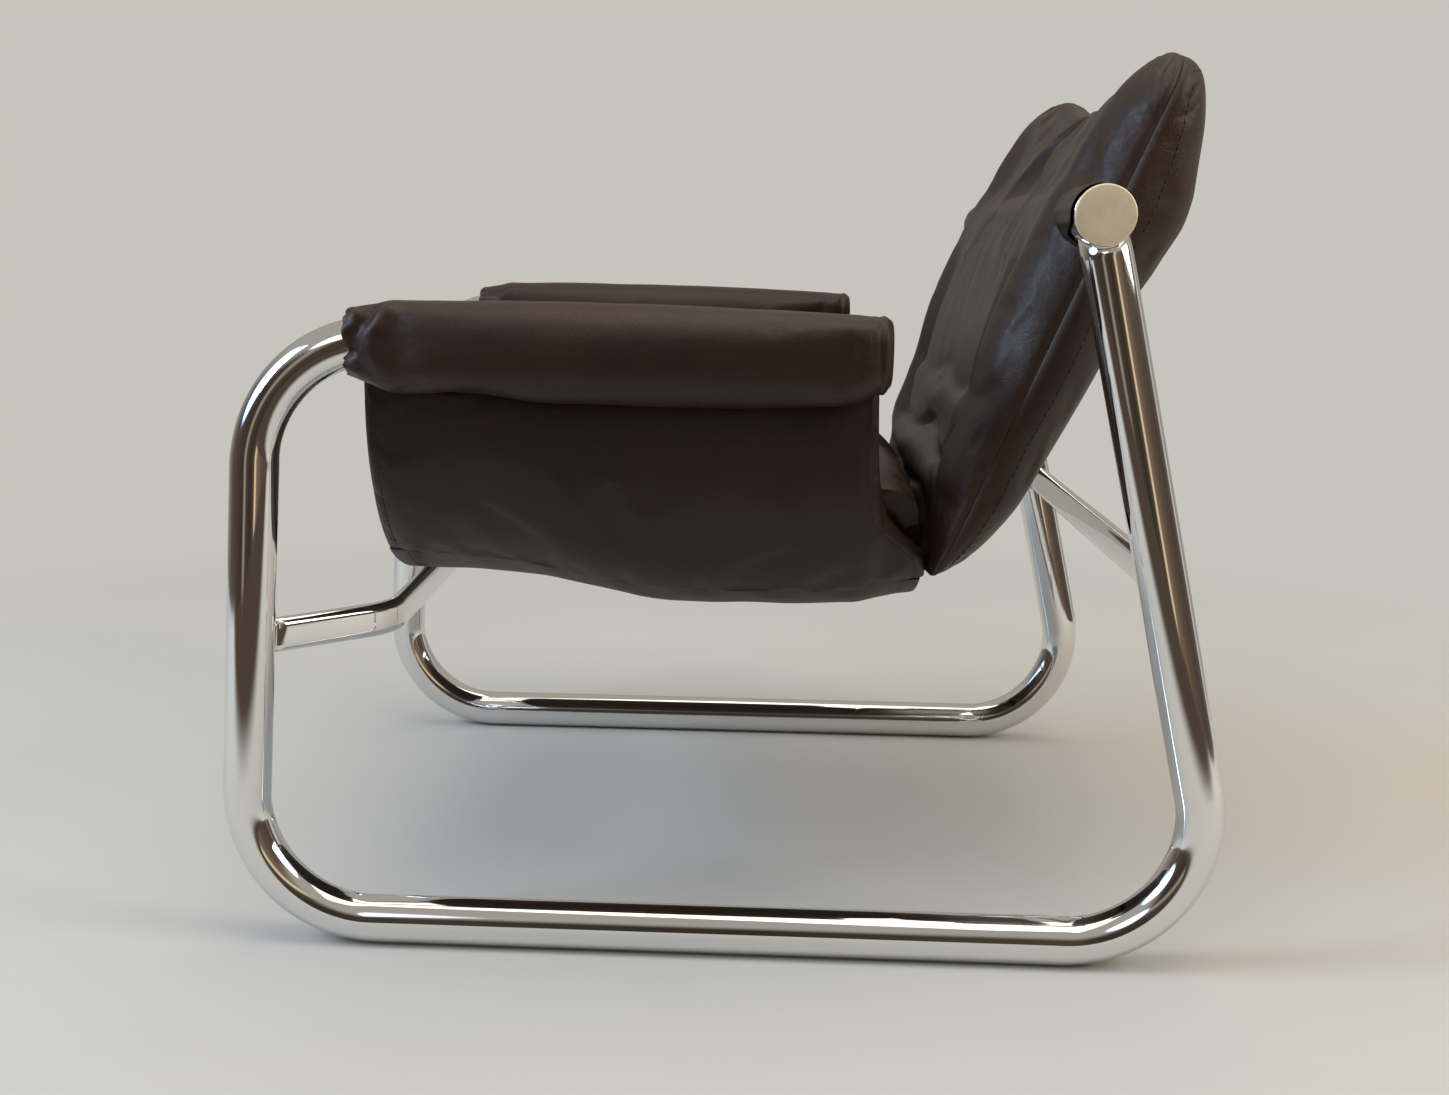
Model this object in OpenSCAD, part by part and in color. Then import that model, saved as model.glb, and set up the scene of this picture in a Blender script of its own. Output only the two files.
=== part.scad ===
// Cantilever lounge chair: two bent chrome side frames, a back rail and two crossbars,
// with padded arm sleeves, a hammock seat hung from them and a lens-shaped back on the rail.
// Width runs along X, the front faces -Y, height is Z, and the floor is Z = 0.

/* [Side frames] */
// Outer diameter of the frame tube
tube_d = 38.1; // [34:0.1:42]
// Wall thickness of the frame tube
tube_wall = 2; // [1.5:0.1:3]
// Distance between the centre planes of the two side frames
frame_spacing = 650; // [600:1:700]
// Overall depth of a side frame, front bend to rear bend
frame_depth = 784; // [740:1:840]
// Height of the arm tube's centreline
arm_z = 481; // [460:1:510]
// Centreline radius of every bend
bend_r = 101; // [80:1:115]
// Backward lean of the front leg, in degrees
front_lean = 2.8; // [0:0.1:6]
// Forward lean of the rear leg, in degrees
rear_lean = 12.5; // [8:0.1:16]

/* [Back rail] */
// Outer diameter of the back rail
rail_d = 44.5; // [42:0.5:50]
// Wall thickness of the back rail
rail_wall = 2; // [1.5:0.1:3]
// Height of the rail's centreline
rail_z = 578; // [560:1:600]
// Length of the rail past the frame tube's outer side, end disc included
rail_past = 5; // [3:0.5:12]
// Thickness of an end disc
disc_t = 4; // [2:0.5:8]
// Chamfer round an end disc
disc_chamfer = 0.8; // [0.3:0.1:1.5]
// Depth of an end disc's spigot in the rail
spigot_len = 14; // [8:1:25]

/* [Crossbars] */
// Height of the flat-oval bar section
bar_h = 28; // [22:0.5:32]
// Thickness of the flat-oval bar section
bar_t = 14; // [10:0.5:18]
// Wall thickness of the bars
bar_wall = 2; // [1.5:0.1:3]
// Height of the front bar's centreline
front_bar_z = 246; // [225:1:270]
// Distance that the front bar runs back from the front legs
front_bar_back = 93; // [80:1:110]
// Centreline radius of the front bar's two bends
front_bar_bend = 60; // [40:1:80]
// Height of the rear bar's centreline
rear_bar_z = 305; // [260:1:340]

/* [Arm pads] */
// Distance of an arm pad's rear end in front of the rail's centre
pad_rear_gap = 146; // [120:1:180]
// Length of the pad's mouth that laps onto the front bend
pad_lap = 27; // [16:0.5:30]
// Half width of the pad
pad_half_w = 35; // [32:0.5:42]
// Rise of the pad's top above the tube's centreline
pad_up = 31.5; // [27:0.5:36]
// Drop of the pad's underside below the tube's centreline
pad_down = 48; // [40:0.5:56]
// Distance of the tube's end from the pad's rear end
tube_end_back = 29; // [20:1:50]
// Thickness of the plug's head in the tube's end
plug_head = 4; // [2:0.5:6]
// Length of the plug's stem in the tube
plug_stem = 22; // [12:1:35]

/* [Side panels and sling] */
// Inset of a side panel's outer face from the arm tube's centre plane
panel_inset = 12.5; // [8:0.5:18]
// Thickness of the padded side panel
panel_t = 18; // [12:0.5:22]
// Distance of a side panel's top rear corner short of the pad's rear end
panel_short = 9; // [2:0.5:36]
// Extra length of the panel at its lower rear corner
panel_sweep = 47; // [25:1:48]
// Reach of the seat's front edge past the front bar's centreline
seat_over_bar = 4; // [0:0.5:7]
// Thickness of the sling under the seat
sling_t = 6; // [4:0.5:9]
// Sag of the sling below its resting line on the front bar
sling_sag = 18; // [8:0.5:30]
// Drop of the sling's rear edge below that line
sling_rear_drop = 6; // [0:0.5:12]
// Distance of the sling's rear edge short of the panels' lower corners
sling_short = 5; // [2:0.5:10]

/* [Seat cushion] */
// Height of the cushion's front edge
seat_front_z = 386; // [370:1:415]
// Height of the cushion's rear edge
seat_rear_z = 362; // [350:1:390]
// Crown of the cushion's top
seat_crown = 16; // [6:0.5:26]
// Rounding of the cushion's side edges
seat_edge = 6; // [3:0.5:10]
// Depth of the two long channels in the top
seat_channel = 5; // [2:0.5:8]
// Distance of a long channel from the middle
seat_channel_x = 92; // [70:1:120]
// Distance of the cushion's nose behind the sling's front edge
seat_front_gap = 3; // [1:0.5:8]
// Distance of the cushion's rear end from the panels' lower rear corners
seat_rear_gap = 20; // [14:1:30]

/* [Back cushion] */
// Distance of the back's side seam from a side frame's centre plane
back_inset = 29; // [20:0.5:55]
// Length of the back above the rail
back_above = 146; // [120:1:170]
// Length of the back below the rail
back_below = 298; // [270:1:320]
// Drop of the lower end in the middle
back_tongue = 16; // [8:0.5:24]
// Lean of the back, in degrees
back_lean = 23.4; // [20:0.1:28]
// Distance of the rail's centre in front of the seam plane
rail_ahead = 13.6; // [8:0.1:16]
// Depth of the bolsters in front of the seam plane
back_front_t = 43; // [42:0.5:50]
// Depth of the rear panel behind the seam plane
back_rear_t = 59.5; // [50:0.5:64]
// Width of one rounded side of the back
back_side_w = 58; // [50:1:90]
// Width of the valley between the bolsters
valley_w = 450; // [380:1:480]
// Depth of the valley near the top and the seat
valley_t = 18; // [10:0.5:24]
// Depth of the soft folds in the valley
fold_t = 2.5; // [1:0.5:5]

/* [Hidden] */

chrome = [0.80, 0.81, 0.83];
satin = [0.86, 0.80, 0.74];
leather = [0.21, 0.14, 0.11];
leather_dark = [0.16, 0.11, 0.09];
plastic = [0.10, 0.10, 0.10];

// Facet count of exact round pieces
round_fn = 64;
// Overrun of every cut
cut = 1;
// Clearance of welded and pressed metal pieces
metal_gap = 0.1;
// Lap of a bend into the straight beside it, and the drawing-in of the tube's skin in a bend
joint_lap = 0.8;
bend_draw = 0.3;
// Clearance between soft pieces and what they lie on
soft_gap = 0.4;
// Clearance of the seat cushion's sides in the bucket
bed_gap = 4.2;

tube_r = tube_d / 2;
bore_r = tube_r - tube_wall;
rail_r = rail_d / 2;
frame_x = frame_spacing / 2;

// Centres of the bends in the plane of a side frame
front_y = -frame_depth / 2 + tube_r + bend_r;
rear_y = frame_depth / 2 - tube_r - bend_r;
bend_z = tube_r + bend_r;
front_leg_len = (arm_z - 2 * bend_r - tube_r) / cos(front_lean);
arm_y = front_y + front_leg_len * sin(front_lean);
front_leg_y = front_y - bend_r * cos(front_lean);
front_leg_z = bend_z + bend_r * sin(front_lean);
rear_leg_y = rear_y + bend_r * cos(rear_lean);
rear_leg_z = bend_z + bend_r * sin(rear_lean);
rear_leg_len = (rail_z - rear_leg_z) / cos(rear_lean);
rail_y = rear_leg_y - rear_leg_len * sin(rear_lean);

// Arm pads
pad_y0 = arm_y - pad_lap;
pad_y1 = rail_y - pad_rear_gap;
pad_len = pad_y1 - pad_y0;
tube_end_y = pad_y1 - tube_end_back;
pad_n = 26;
pad_square = 2.5;
pad_bore_r = (tube_r + soft_gap) / cos(180 / pad_n);
// Widening of the sleeve's mouth round the start of the bend
mouth_flare = 0.6;
plug_clear = 0.2;

// Front and rear bars
front_leg_at_bar = front_leg_y + (front_bar_z - front_leg_z) * tan(front_lean);
bar_y = front_leg_at_bar + front_bar_back;
bar_top = front_bar_z + bar_h / 2;
rear_bar_y = rear_leg_y - (rear_bar_z - rear_leg_z) * tan(rear_lean);
bar_turn = 45;
bar_tangent = front_bar_bend * tan(bar_turn / 2);

// Bucket of side panels and sling
bucket_x = frame_x - panel_inset;
bucket_y0 = bar_y - seat_over_bar;
panel_y1 = pad_y1 - panel_short;
bucket_y1 = panel_y1 + panel_sweep;
// Share of a panel's thickness over which its rim follows the pad's round underside
rim_share = 0.66;
seam_angle = 48;
seam_gap_angle = 2.2 * soft_gap / bucket_x * 180 / PI;
panel_rows = 9;
sling_rows = 15;

// Forms, as shares of the sizes above along the piece: [place, share]
pad_up_shares = [[0, 0.76], [0.05, 0.89], [0.09, 1], [0.25, 0.99], [0.5, 0.93], [0.79, 0.83],
  [0.93, 0.76], [0.975, 0.66], [1, 0.46]];
pad_down_shares = [[0, 0.56], [0.035, 0.68], [0.10, 0.86], [0.24, 0.88], [0.38, 1], [0.66, 1],
  [0.88, 0.97], [0.93, 0.90], [0.97, 0.74], [1, 0.5]];
pad_width_shares = [[0, 0.68], [0.03, 0.82], [0.09, 0.96], [0.2, 1], [0.8, 1], [0.93, 0.96],
  [0.98, 0.84], [1, 0.62]];
sag_shares = [[0, 0], [0.15, 0.1], [0.28, -0.05], [0.42, -0.6], [0.55, -1], [0.78, -1], [0.88, -0.95]];
square_shares = [[0, 2.4], [0.15, 2.55], [0.35, 2.9], [0.55, 3.1], [1, 3]];
sweep_shares = [[0, 0], [0.2, 0.04], [0.3, 0.08], [0.4, 0.14], [0.5, 0.24], [0.6, 0.44],
  [0.7, 0.70], [0.8, 0.90], [1, 0.96]];
edge_shares = [[0, 0.42], [0.015, 0.72], [0.045, 0.93], [0.09, 1], [0.91, 1], [0.955, 0.93],
  [0.985, 0.72], [1, 0.42]];
nose_shares = [[0, 0.38], [0.02, 0.62], [0.06, 0.84], [0.12, 0.96], [0.2, 1], [0.82, 1],
  [0.92, 0.93], [0.97, 0.78], [1, 0.5]];
back_front_shares = [[0, 0], [0.02, 0.14], [0.07, 0.30], [0.135, 0.43], [0.176, 0.65],
  [0.21, 0.69], [0.27, 0.68], [0.336, 0.74], [0.42, 0.92], [0.49, 0.99], [0.55, 1], [0.626, 0.98],
  [0.694, 0.95], [0.752, 0.86], [0.80, 0.83], [0.847, 0.76], [0.892, 0.68], [0.928, 0.50],
  [0.95, 0.38], [0.977, 0.22], [1, 0]];
back_rear_shares = [[0, 0], [0.02, 0.22], [0.072, 0.42], [0.122, 0.55], [0.187, 0.67],
  [0.28, 0.735], [0.363, 0.78], [0.456, 0.83], [0.606, 0.865], [0.647, 0.92], [0.70, 0.97],
  [0.739, 1], [0.787, 0.96], [0.835, 0.86], [0.89, 0.70], [0.941, 0.50], [0.973, 0.33], [1, 0]];
valley_shares = [[0, 0.2], [0.12, 0.7], [0.3, 1], [0.5, 0.85], [0.6, 0.5], [0.65, 0.15],
  [0.7, 0.15], [0.74, 0.55], [0.8, 0.9], [0.93, 1], [1, 0.9]];

// Superellipse component
function rounded(c, n) = sign(c) * pow(abs(c), 2 / n);

function pad_share(y) = (y - pad_y0) / pad_len;

// Underside of the arm pad at a distance off its centre plane
function pad_under(off, y) =
  let(w = pad_half_w * lookup(pad_share(y), pad_width_shares),
      d = pad_down * lookup(pad_share(y), pad_down_shares),
      k = min(abs(off) / w, 0.98))
  arm_z - d * pow(1 - pow(k, pad_square), 1 / pad_square);

function pad_ring(y, grow) =
  let(v = pad_share(y),
      w = pad_half_w * lookup(v, pad_width_shares) * grow,
      u = pad_up * lookup(v, pad_up_shares) * grow,
      d = pad_down * lookup(v, pad_down_shares) * grow)
  [for (i = [0 : pad_n - 1])
    let(a = 360 * i / pad_n, c = cos(a), s = sin(a))
    [w * rounded(c, pad_square), y, arm_z + (s > 0 ? u : d) * rounded(s, pad_square)]];

// Bore ring round the arm tube, following the start of the bend at a distance into it
function bore_ring(y, r, into) =
  let(drop = bend_r - sqrt(bend_r * bend_r - into * into), rise = bend_r / (bend_r - drop))
  [for (i = [0 : pad_n - 1])
    let(a = 360 * i / pad_n) [r * cos(a), y, arm_z - drop + r * rise * sin(a)]];

// Bucket: centre height, squareness and rim height at a place along Y
function bucket_share(y) = (y - bucket_y0) / (bucket_y1 - bucket_y0);
function bucket_floor(y) =
  let(v = bucket_share(y), r = bar_top + soft_gap)
  v < 0.88 ? r + sling_sag * lookup(v, sag_shares)
    : r + sling_sag * lookup(0.88, sag_shares) * (1 - (v - 0.88) / 0.12)
      - sling_rear_drop * pow((v - 0.88) / 0.12, 1.4);
function bucket_square(y) = lookup(bucket_share(y), square_shares);

// Point of the bucket at an angle down from the rim, set in by t from its outer face
function bucket_point(y, a, t, lift) =
  let(n = bucket_square(y),
      x = bucket_x - t,
      top = pad_under(panel_inset + rim_share * t, min(y, pad_y1)) - 2 * soft_gap,
      low = bucket_floor(y) + t + lift)
  [x * rounded(cos(a), n), y, top - (top - low) * rounded(sin(a), n)];

// Thickness of the panel from its rim to the sling's seam
function panel_thick(a) =
  let(w = min(a, 180 - a) / seam_angle)
  w < 0.55 ? panel_t : sling_t + (panel_t - sling_t) * max(0, 1 - (w - 0.55) / 0.45);

// Inset of the cushion from the bucket's outer face, over the padding it lies against
function bed(a) =
  let(w = min(a, 180 - a) / seam_angle)
  panel_thick(a) + (w < 1 ? bed_gap : 3.2 * soft_gap);

// Closed form through rings of points, closed at both ends
module skin(rings) {
  n = len(rings);
  k = len(rings[0]);
  points = [for (r = rings) for (p = r) p];
  sides = [for (i = [0 : n - 2]) for (j = [0 : k - 1])
    let(a = i * k + j, b = i * k + (j + 1) % k, c = b + k, d = a + k)
    each [[a, b, c], [a, c, d]]];
  ends = [for (j = [0 : k / 2 - 2])
    let(a = j, b = j + 1, c = k - 2 - j, d = k - 1 - j, e = (n - 1) * k)
    each [[a, c, b], [a, d, c], [e + a, e + b, e + c], [e + a, e + c, e + d]]];
  polyhedron(points = points, faces = concat(sides, ends), convexity = 6);
}

// Crowned form over a flat outline: a grid of points and the flat face that closes it
module crowned(grid) {
  n = len(grid);
  k = len(grid[0]);
  points = [for (r = grid) for (p = r) p];
  top = [for (i = [0 : n - 2]) for (j = [0 : k - 2])
    let(a = i * k + j, b = a + 1, c = b + k, d = a + k)
    each [[a, c, b], [a, d, c]]];
  rim = concat(
    [for (i = [n - 1 : -1 : 1]) i * k],
    [for (j = [0 : k - 2]) j],
    [for (i = [0 : n - 2]) i * k + k - 1],
    [for (j = [k - 1 : -1 : 1]) (n - 1) * k + j]);
  polyhedron(points = points, faces = concat(top, [rim]), convexity = 6);
}

// Straight length of frame tube along Z
module tube_run(len_z) {
  difference() {
    cylinder(h = len_z, r = tube_r, $fn = round_fn);
    translate([0, 0, -cut]) cylinder(h = len_z + 2 * cut, r = bore_r, $fn = round_fn);
  }
}

// Bend of frame tube round X, from an angle and through a turn, in the YZ plane
module tube_bend(from, turn) {
  lap = joint_lap / bend_r * 180 / PI;
  rotate([90, 0, 90])
    rotate([0, 0, from - lap])
      rotate_extrude(angle = turn + 2 * lap, $fn = round_fn)
        translate([bend_r, 0])
          rotate(90)
            difference() {
              circle(r = tube_r - bend_draw, $fn = round_fn);
              circle(r = bore_r - bend_draw, $fn = round_fn);
            }
}

// One bent side frame, in its own plane
module frame_tube() {
  translate([0, front_y, tube_r]) rotate([-90, 0, 0]) tube_run(rear_y - front_y);
  translate([0, front_y, bend_z]) tube_bend(180 - front_lean, 90 + front_lean);
  translate([0, rear_y, bend_z]) tube_bend(-90, 90 + rear_lean);
  translate([0, front_leg_y, front_leg_z]) rotate([-front_lean, 0, 0]) tube_run(front_leg_len);
  translate([0, arm_y, arm_z - bend_r]) tube_bend(90, 90 - front_lean);
  translate([0, arm_y, arm_z]) rotate([-90, 0, 0]) tube_run(tube_end_y - arm_y);
  translate([0, rear_leg_y, rear_leg_z]) rotate([rear_lean, 0, 0]) tube_run(rear_leg_len);
}

// Side frame with its rear leg coped to the rail
module side_frame() {
  color(chrome)
    difference() {
      translate([frame_x, 0, 0]) frame_tube();
      translate([frame_x - tube_d, rail_y, rail_z]) rotate([0, 90, 0])
        cylinder(h = 2 * tube_d, r = rail_r + metal_gap, $fn = round_fn);
    }
}

module bar_outline(inset) {
  r = bar_t / 2 - inset;
  flat = bar_h - bar_t;
  union() {
    square([2 * r, flat], center = true);
    for (s = [-1, 1]) translate([0, s * flat / 2]) circle(r = r, $fn = round_fn);
  }
}

module bar_section(step) {
  difference() {
    bar_outline(step);
    bar_outline(bar_wall + step);
  }
}

// Bend and slanted end of the front bar at the left leg
module front_bar_end() {
  corner_x = frame_x - front_bar_back;
  slant = front_bar_back / sin(bar_turn) - bar_tangent;
  lap = joint_lap / front_bar_bend * 180 / PI;
  translate([0, bar_y, front_bar_z]) {
    translate([corner_x - bar_tangent, -front_bar_bend, 0])
      rotate([0, 0, 90 - bar_turn - lap])
        rotate_extrude(angle = bar_turn + 2 * lap, $fn = round_fn)
          translate([front_bar_bend, 0]) bar_section(bend_draw);
    translate([corner_x, 0, 0])
      rotate([0, 0, -bar_turn])
        translate([bar_tangent, 0, 0])
          rotate([90, 0, 90]) linear_extrude(height = slant) bar_section(0);
  }
}

module front_crossbar() {
  straight = frame_x - front_bar_back - bar_tangent;
  color(chrome)
    difference() {
      union() {
        translate([-straight, bar_y, front_bar_z])
          rotate([90, 0, 90]) linear_extrude(height = 2 * straight) bar_section(0);
        front_bar_end();
        mirror([1, 0, 0]) front_bar_end();
      }
      for (s = [-1, 1])
        translate([s * frame_x, front_leg_y, front_leg_z])
          rotate([-front_lean, 0, 0])
            cylinder(h = front_leg_len, r = tube_r + metal_gap, $fn = round_fn);
    }
}

module rear_crossbar() {
  color(chrome)
    difference() {
      translate([-frame_x, rear_bar_y, rear_bar_z])
        rotate([90, 0, 90]) linear_extrude(height = frame_spacing) bar_section(0);
      for (s = [-1, 1])
        translate([s * frame_x, rear_leg_y, rear_leg_z])
          rotate([rear_lean, 0, 0])
            cylinder(h = rear_leg_len, r = tube_r + metal_gap, $fn = round_fn);
    }
}

module back_rail() {
  half = frame_x + tube_r + rail_past - disc_t;
  color(chrome)
    translate([-half, rail_y, rail_z]) rotate([0, 90, 0])
      difference() {
        cylinder(h = 2 * half, r = rail_r, $fn = round_fn);
        translate([0, 0, -cut])
          cylinder(h = 2 * (half + cut), r = rail_r - rail_wall, $fn = round_fn);
      }
}

// End disc of the rail, its spigot pressed into the bore
module rail_disc() {
  half = frame_x + tube_r + rail_past - disc_t;
  color(satin)
    translate([half, rail_y, rail_z]) rotate([0, 90, 0])
      rotate_extrude($fn = round_fn)
        polygon([
          [0, -spigot_len],
          [rail_r - rail_wall - plug_clear, -spigot_len],
          [rail_r - rail_wall - plug_clear, 0],
          [rail_r, 0],
          [rail_r, disc_t - disc_chamfer],
          [rail_r - disc_chamfer, disc_t],
          [0, disc_t]
        ]);
}

// Plug that closes the free rear end of the arm tube inside the pad
module arm_tube_plug() {
  color(plastic)
    translate([frame_x, tube_end_y, arm_z]) rotate([-90, 0, 0])
      rotate_extrude($fn = round_fn)
        polygon([
          [0, -plug_stem],
          [bore_r - plug_clear, -plug_stem],
          [bore_r - plug_clear, 0],
          [tube_r, 0],
          [tube_r, plug_head / 2],
          [tube_r - plug_head / 2, plug_head],
          [0, plug_head]
        ]);
}

// Padded sleeve on the arm tube, closed at the rear
module arm_pad() {
  places = [0, 0.015, 0.04, 0.07, 0.11, 0.17, 0.25, 0.36, 0.48, 0.6, 0.72, 0.83, 0.9, 0.94,
    0.97, 0.99, 1];
  color(leather)
    translate([frame_x, 0, 0])
      skin(concat(
        [bore_ring(tube_end_y + plug_head + soft_gap, pad_bore_r, 0)],
        [bore_ring(arm_y, pad_bore_r + mouth_flare / 2, 0)],
        [bore_ring(pad_y0 + pad_lap / 2, pad_bore_r + mouth_flare, pad_lap / 2)],
        [bore_ring(pad_y0, pad_bore_r + mouth_flare, pad_lap)],
        [for (v = places) pad_ring(pad_y0 + pad_len * v + (v == 0 ? soft_gap : 0), 1)],
        [pad_ring(pad_y1, 0.55)]));
}

// Padded side panel, hung from the pad's underside and curved in below the seat
module side_panel() {
  function rear_edge(w) = panel_y1 + panel_sweep * lookup(w, sweep_shares);
  places = [0, 0.012, 0.035, 0.07, 0.12, 0.19, 0.27, 0.35, 0.43, 0.51, 0.59, 0.67, 0.75, 0.82,
    0.88, 0.93, 0.965, 0.988, 1];
  rows = [for (i = [0 : panel_rows]) i / panel_rows];
  function place_y(v, w) = bucket_y0 + (rear_edge(w) - bucket_y0) * v;
  color(leather_dark)
    skin([for (v = places)
      let(thin = lookup(v, edge_shares))
      concat(
        [for (i = [panel_rows : -1 : 0])
          let(w = rows[i], a = w * seam_angle, t = panel_thick(a) * (1 - thin) / 2)
          bucket_point(place_y(v, w), a, t, 0)],
        [for (w = rows)
          let(a = w * seam_angle, t = panel_thick(a) * (1 + thin) / 2)
          bucket_point(place_y(v, w), a, t, 0)])]);
}

// Hammock sheet between the side panels, resting on the front bar
module seat_sling() {
  a0 = seam_angle + seam_gap_angle;
  a1 = 180 - a0;
  places = [0, 0.015, 0.05, 0.12, 0.2, 0.28, 0.36, 0.44, 0.52, 0.6, 0.68, 0.76, 0.84, 0.88, 0.92,
    0.96, 1];
  angles = [for (i = [0 : sling_rows]) a0 + (a1 - a0) * i / sling_rows];
  color(leather_dark)
    skin([for (v = places)
      let(y = bucket_y0 + (bucket_y1 - sling_short - bucket_y0) * v)
      concat(
        [for (i = [sling_rows : -1 : 0]) bucket_point(y, angles[i], 0, 0)],
        [for (a = angles) bucket_point(y, a, sling_t, 0)])]);
}

// Loose seat cushion, bedded in the bucket, with its crown and two long channels
module seat_cushion() {
  y0 = bucket_y0 + seat_front_gap;
  y1 = bucket_y1 - seat_rear_gap;
  rows = 18;
  places = [0, 0.008, 0.03, 0.065, 0.11, 0.17, 0.25, 0.34, 0.43, 0.52, 0.61, 0.7, 0.78, 0.85,
    0.9, 0.94, 0.97, 0.99, 1];
  function top_edge(v) = seat_front_z + (seat_rear_z - seat_front_z) * v;
  function groove(x) = seat_channel * exp(-pow((abs(x) - seat_channel_x) / seat_channel, 2) / 6);
  color(leather)
    skin([for (v = places)
      let(y = y0 + (y1 - y0) * v,
          n = bucket_square(y),
          e = lookup(v, nose_shares),
          z = top_edge(v),
          rim = bucket_point(y, 0, bed(0), 0)[2],
          low = bucket_floor(y) + bed(0),
          a0 = asin(pow((rim - z) / (rim - low), n / 2)),
          tilt = max(0, (v - 0.7) / 0.3),
          edge = bucket_point(y, a0, bed(a0), 0),
          bottom = [for (i = [0 : rows])
            let(a = a0 + (180 - 2 * a0) * i / rows)
            bucket_point(y, a, bed(a), 0)],
          middle = (z + bottom[rows / 2][2]) / 2)
      concat(
        [for (i = [0 : rows])
          let(x = (edge[0] - seat_edge / 2) * cos(180 * i / rows),
              h = seat_edge + seat_crown * (1 - pow(abs(x) / edge[0], 2.6)) - groove(x) * e,
              p = [x * (0.94 + 0.06 * e), middle + (z + h - middle) * e])
          [p[0], y + tilt * (p[1] - middle) * tan(back_lean), p[1]]],
        [for (i = [rows : -1 : 0])
          let(b = bottom[i], q = middle + (b[2] - middle) * e)
          [b[0] * (0.94 + 0.06 * e), y + tilt * min(0, q - middle) * tan(back_lean), q]])]);
}

// Back: places along its length and across it, in the plane of its seam
back_w = frame_spacing - 2 * back_inset;
back_len = back_above + back_below;
back_rows = 19;
back_cols = 28;
back_half = back_w / 2;

function back_side(x) =
  let(k = max(0, (abs(x) - (back_half - back_side_w)) / back_side_w))
  sqrt(max(0, 1 - k * k));
function back_half_at(v) =
  back_half - back_side_w * (1 - sqrt(max(0, 1 - pow(max(0, 1 - v / 0.12), 2)))) * 0.5
    - back_side_w * (1 - sqrt(max(0, 1 - pow(max(0, (v - 0.88) / 0.12), 2)))) * 0.5;
function back_foot(x) = -back_tongue * max(0, 1 - pow(x / back_half, 2));
function valley(x) =
  let(k = min(1, abs(x) / (valley_w / 2)))
  1 - pow(sin(90 * pow(k, 2.4)), 2);
function folds(x) =
  let(k = min(1, abs(x) / (valley_w / 2)))
  fold_t * (1 - k * k) * cos(360 * 2.5 * k);

function back_point(i, j, sign_y) =
  let(v = (1 - cos(180 * i / back_rows)) / 2,
      c = -cos(180 * j / back_cols),
      u = sign(c) * (1 - pow(1 - abs(c), 0.8)),
      half = back_half_at(v),
      x = half * u,
      foot = back_foot(x) * (1 - v),
      edge = back_side(back_half * u) * ((i == 0 || i == back_rows || j == 0 || j == back_cols) ? 0 : 1),
      deep = sign_y > 0
        ? back_front_t * lookup(v, back_front_shares) - lookup(v, valley_shares)
          * (valley_t * valley(x) - folds(x)) * min(1, 4 * v) * min(1, 6 * (1 - v))
        : back_rear_t * lookup(v, back_rear_shares))
  [x, -sign_y * max(edge * deep, 0), back_len * v + foot];

// Places a piece made in the seam plane at the rail
module on_rail() {
  translate([0, rail_y, rail_z])
    rotate([-back_lean, 0, 0])
      translate([0, rail_ahead, -back_below])
        children();
}

module rail_bore() {
  translate([-back_half - cut, rail_y, rail_z]) rotate([0, 90, 0])
    cylinder(h = back_w + 2 * cut, r = rail_r + soft_gap, $fn = round_fn);
}

// Front half of the back, sized to its seam width
module back_front_panel() {
  color(leather)
    resize([back_w, 0, 0])
      difference() {
        on_rail()
          crowned([for (i = [0 : back_rows]) [for (j = [0 : back_cols]) back_point(i, j, 1)]]);
        rail_bore();
      }
}

// Rear half of the back, sized to its seam width
module back_rear_panel() {
  color(leather_dark)
    resize([back_w, 0, 0])
      difference() {
        on_rail()
          crowned([for (i = [0 : back_rows])
            [for (j = [back_cols : -1 : 0]) back_point(i, j, -1)]]);
        rail_bore();
      }
}

side_frame();  // side_frame_left
mirror([1, 0, 0]) side_frame();  // side_frame_right
front_crossbar();
rear_crossbar();
back_rail();
rail_disc();  // rail_disc_left
mirror([1, 0, 0]) rail_disc();  // rail_disc_right
arm_tube_plug();  // arm_tube_plug_left
mirror([1, 0, 0]) arm_tube_plug();  // arm_tube_plug_right
arm_pad();  // arm_pad_left
mirror([1, 0, 0]) arm_pad();  // arm_pad_right
side_panel();  // side_panel_left
mirror([1, 0, 0]) side_panel();  // side_panel_right
seat_sling();
seat_cushion();
back_front_panel();
back_rear_panel();
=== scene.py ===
import math

import bmesh
import bpy
import numpy as np
from mathutils import Matrix, Vector
from mathutils import noise as mnoise
from mathutils.bvhtree import BVHTree


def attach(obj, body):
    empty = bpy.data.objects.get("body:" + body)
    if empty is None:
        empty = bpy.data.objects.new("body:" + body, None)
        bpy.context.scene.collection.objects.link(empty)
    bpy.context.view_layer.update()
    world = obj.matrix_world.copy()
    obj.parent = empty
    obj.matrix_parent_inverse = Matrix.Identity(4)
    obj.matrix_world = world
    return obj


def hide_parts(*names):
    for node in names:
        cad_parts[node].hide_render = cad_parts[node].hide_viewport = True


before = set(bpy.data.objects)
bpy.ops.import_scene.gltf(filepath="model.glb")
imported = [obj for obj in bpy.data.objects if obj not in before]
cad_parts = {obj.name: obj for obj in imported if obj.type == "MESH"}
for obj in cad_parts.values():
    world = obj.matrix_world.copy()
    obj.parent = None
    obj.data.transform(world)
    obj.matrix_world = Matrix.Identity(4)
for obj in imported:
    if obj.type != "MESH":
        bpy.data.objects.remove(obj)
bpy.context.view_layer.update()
MM = 0.001
SIDES = ((1, "left"), (-1, "right"))

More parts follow.
